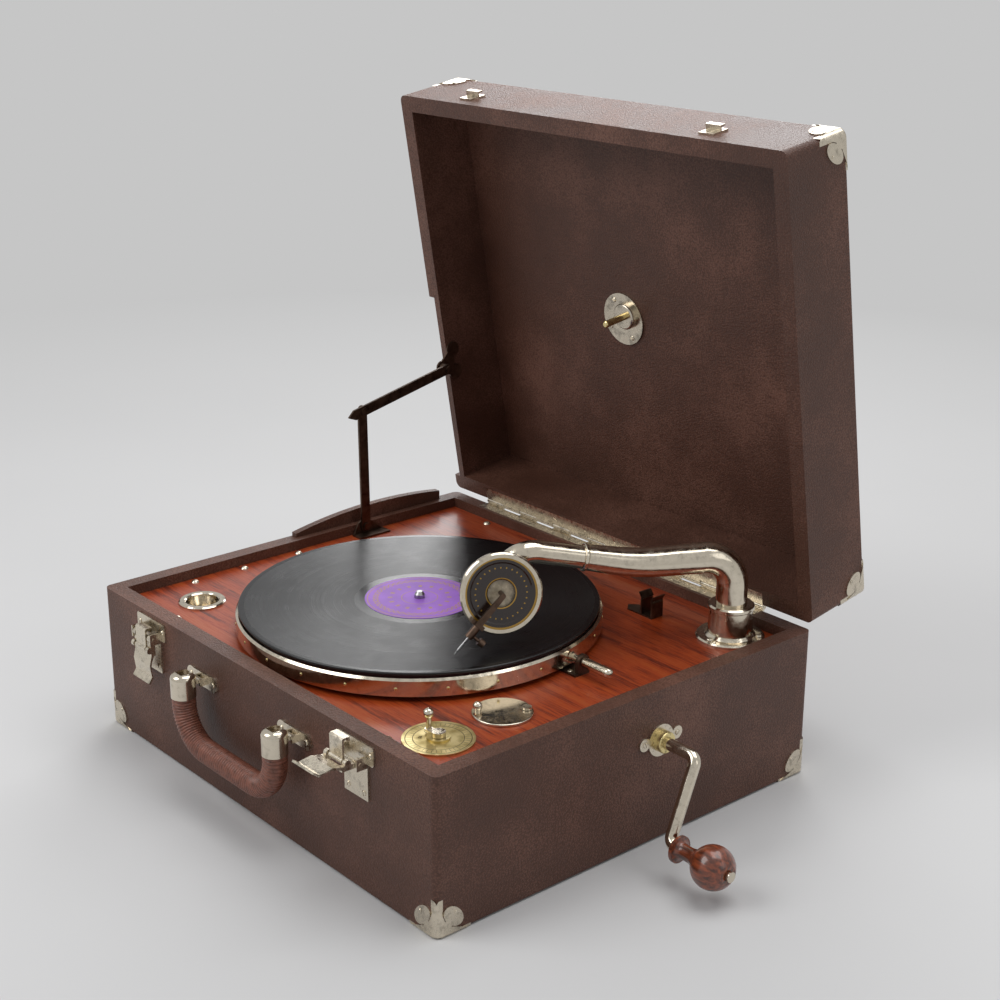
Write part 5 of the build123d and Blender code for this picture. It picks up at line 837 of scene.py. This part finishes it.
class GRAMOPHONE_OT_nails(Operator):
    """Drives the nails through the corner caps and the rivets round the turntable"""
    bl_idname = "gramophone.nails"
    bl_label = "Nails and rivets"

    def execute(self, context):
        nickel = plated("Nail_nickel_plate", tuple(colours().nickel), 0.15, 0.35, dirt=0.65)
        x, y, ear = CASE_RIGHT, CASE_BACK, CAP_EAR
        case, lid = [], []
        for side in (-1, 1):
            for end in (-1, 1):
                sideward, endward = RIGHTWARD * side, -FRONTWARD * end
                case.append(at(side * (x - ear), end * (y + CAP_SHEET), ear, endward, 0))
                case.append(at(side * (x + CAP_SHEET), end * (y - ear), ear, sideward, 0))
                lid.append(in_lid(side * (x - ear), end * (y + CAP_SHEET), LID_TOP + CAP_SHEET - ear,
                                  endward, 0))
                lid.append(in_lid(side * (x + CAP_SHEET), end * (y - ear), LID_TOP + CAP_SHEET - ear,
                                  sideward, 0))
                lid.append(in_lid(side * (x - ear), end * (y - ear), LID_TOP + CAP_SHEET, UP, 0))
        head = sizes().cap_nail
        piece("case_cap_nails", spread(domed_head(head, head * NAIL_RISE), case), nickel, "base")
        piece("lid_cap_nails", spread(domed_head(head, head * NAIL_RISE), lid), nickel, "lid")

        brass = plated("Rivet_brass", tuple(colours().brass), 0.2, 0.4, dirt=0.5)
        middle = middle_of("record")
        rivets = []
        for number in range(sizes().rim_rivets):
            turn = math.tau * number / sizes().rim_rivets
            outward = Vector((math.cos(turn), math.sin(turn), 0))
            place = Vector((middle.x, middle.y, RIM_RIVET_Z * MM)) + outward * TURNTABLE_RADIUS * MM
            rivets.append((place, outward, 0))
        head = sizes().rim_rivet
        piece("turntable_rim_rivets", spread(domed_head(head, head * RIVET_RISE), rivets), brass, "turntable")
        return {"FINISHED"}


class GRAMOPHONE_OT_screws(Operator):
    """Turns in the slotted screws of the plates and flanges"""
    bl_idname = "gramophone.screws"
    bl_label = "Screws"

    def execute(self, context):
        nickel = plated("Screw_nickel_plate", tuple(colours().nickel), 0.15, 0.4, dirt=0.65)
        head = sizes().screw_head
        rise = head * SCREW_RISE
        piece("plate_screws", spread(slotted_head(head, rise), self.plates()), nickel, "base")
        holder = []
        for bearing in HOLDER_SCREWS:
            x, y = on_circle(HOLDER, HOLDER_CIRCLE, bearing)
            holder.append(in_lid(x, y, LID_CEILING - HOLDER_SHEET, DOWN, bearing))
        piece("record_holder_screws", spread(slotted_head(head, rise), holder), nickel, "lid")
        hinge_x, hinge_y = HINGE_LEAF_MIDDLE
        base_leaf, lid_leaf = [], []
        for number in range(-HINGE_SIDE_SCREWS, HINGE_SIDE_SCREWS + 1):
            x = hinge_x + number * HINGE_SCREW_PITCH
            base_leaf.append(at(x, hinge_y, RIM_HEIGHT - 0.05, UP, number * 37))
            lid_leaf.append(in_lid(x, hinge_y, LID_RIM + 0.05, DOWN, number * 53))
        piece("hinge_case_screws", spread(slotted_head(head, FLUSH_RISE), base_leaf), nickel, "base")
        piece("hinge_lid_screws", spread(slotted_head(head, FLUSH_RISE), lid_leaf), nickel, "lid")
        return {"FINISHED"}

    def plates(self):
        """Places of the screws of the latches, the handle, the escutcheon, the arm's foot and the brake."""
        places = []
        for middle in LATCH_MIDDLES:
            for across, height, turn in LATCH_SCREWS:
                places.append(at(middle + across, LATCH_FACE, height, FRONTWARD, turn))
        for middle in HANDLE_MIDDLES:
            for across, turn in HANDLE_SCREWS:
                places.append(at(middle + across, HANDLE_FACE, HANDLE_Z, FRONTWARD, turn))
        crank_y, crank_z = CRANK_AXIS
        for across, turn in ESCUTCHEON_SCREWS:
            places.append(at(CASE_RIGHT + ESCUTCHEON_SHEET, crank_y + across, crank_z + 1, RIGHTWARD, turn))
        for bearing in ARM_FOOT_SCREWS:
            x, y = on_circle(ARM_FOOT, ARM_FOOT_CIRCLE, bearing)
            places.append(at(x, y, BOARD_TOP + ARM_FOOT_SHEET, UP, bearing * 2))
        brake_x, brake_y = BRAKE_FOOT
        for across in BRAKE_SCREWS:
            places.append(at(brake_x, brake_y + across, BOARD_TOP + BRAKE_SHEET, UP, across * 20))
        return places


class GRAMOPHONE_OT_numerals(Operator):
    """Fills the speed dial's numbers with dark wax"""
    bl_idname = "gramophone.numerals"
    bl_label = "Dial numbers"

    def execute(self, context):
        wax = clouded("Dark_engraving_wax", tuple(colours().wax), 800.0, 0.5, 0.7, 0.00003)
        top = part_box("speed_dial")[0].z + DIAL_SHEET * MM
        group = bmesh.new()
        for text, turn in NUMERALS.items():
            letters = bpy.data.curves.new("numeral", "FONT")
            letters.body = text
            letters.size = sizes().numeral
            letters.align_x = "CENTER"
            letters.align_y = "CENTER"
            letters.extrude = NUMERAL_RISE
            letters.resolution_u = 3
            holder = bpy.data.objects.new("numeral", letters)
            mesh = bpy.data.meshes.new_from_object(holder)
            angle = math.radians(turn)
            x, y = on_circle(DIAL, NUMERAL_RING, turn)
            place = Vector((x * MM, y * MM, top))
            mesh.transform(Matrix.Translation(place) @ Matrix.Rotation(angle + math.pi / 2, 4, "Z"))
            group.from_mesh(mesh)
            bpy.data.objects.remove(holder)
            bpy.data.curves.remove(letters)
            bpy.data.meshes.remove(mesh)
        bmesh.ops.remove_doubles(group, verts=group.verts, dist=MERGE)
        piece("speed_dial_numbers", group, wax, "base")
        return {"FINISHED"}


OPERATORS = (GRAMOPHONE_OT_stage, GRAMOPHONE_OT_finishes, GRAMOPHONE_OT_grip, GRAMOPHONE_OT_nails,
             GRAMOPHONE_OT_screws, GRAMOPHONE_OT_numerals)


class GRAMOPHONE_PT_panel(Panel):
    """Lists the gramophone's operators, colours and sizes"""
    bl_idname = "GRAMOPHONE_PT_panel"
    bl_label = "Portable gramophone"
    bl_space_type = "VIEW_3D"
    bl_region_type = "UI"
    bl_category = "Gramophone"

    def draw(self, context):
        layout = self.layout
        for operator in OPERATORS:
            layout.operator(operator.bl_idname)
        for settings in (context.scene.gramophone_colours, context.scene.gramophone_sizes):
            for name in settings.__annotations__:
                layout.prop(settings, name)


CLASSES = (GramophoneColours, GramophoneSizes, *OPERATORS, GRAMOPHONE_PT_panel)


def register():
    """Registers the classes and the scene's settings."""
    for kind in CLASSES:
        bpy.utils.register_class(kind)
    bpy.types.Scene.gramophone_colours = PointerProperty(type=GramophoneColours)
    bpy.types.Scene.gramophone_sizes = PointerProperty(type=GramophoneSizes)


def unregister():
    """Takes the settings and the classes out again."""
    del bpy.types.Scene.gramophone_sizes
    del bpy.types.Scene.gramophone_colours
    for kind in reversed(CLASSES):
        bpy.utils.unregister_class(kind)


def main():
    """Registers the classes and makes the scene by running every operator."""
    register()
    for operator in OPERATORS:
        getattr(bpy.ops.gramophone, operator.bl_idname.split(".")[1])()


if __name__ == "__main__":
    main()
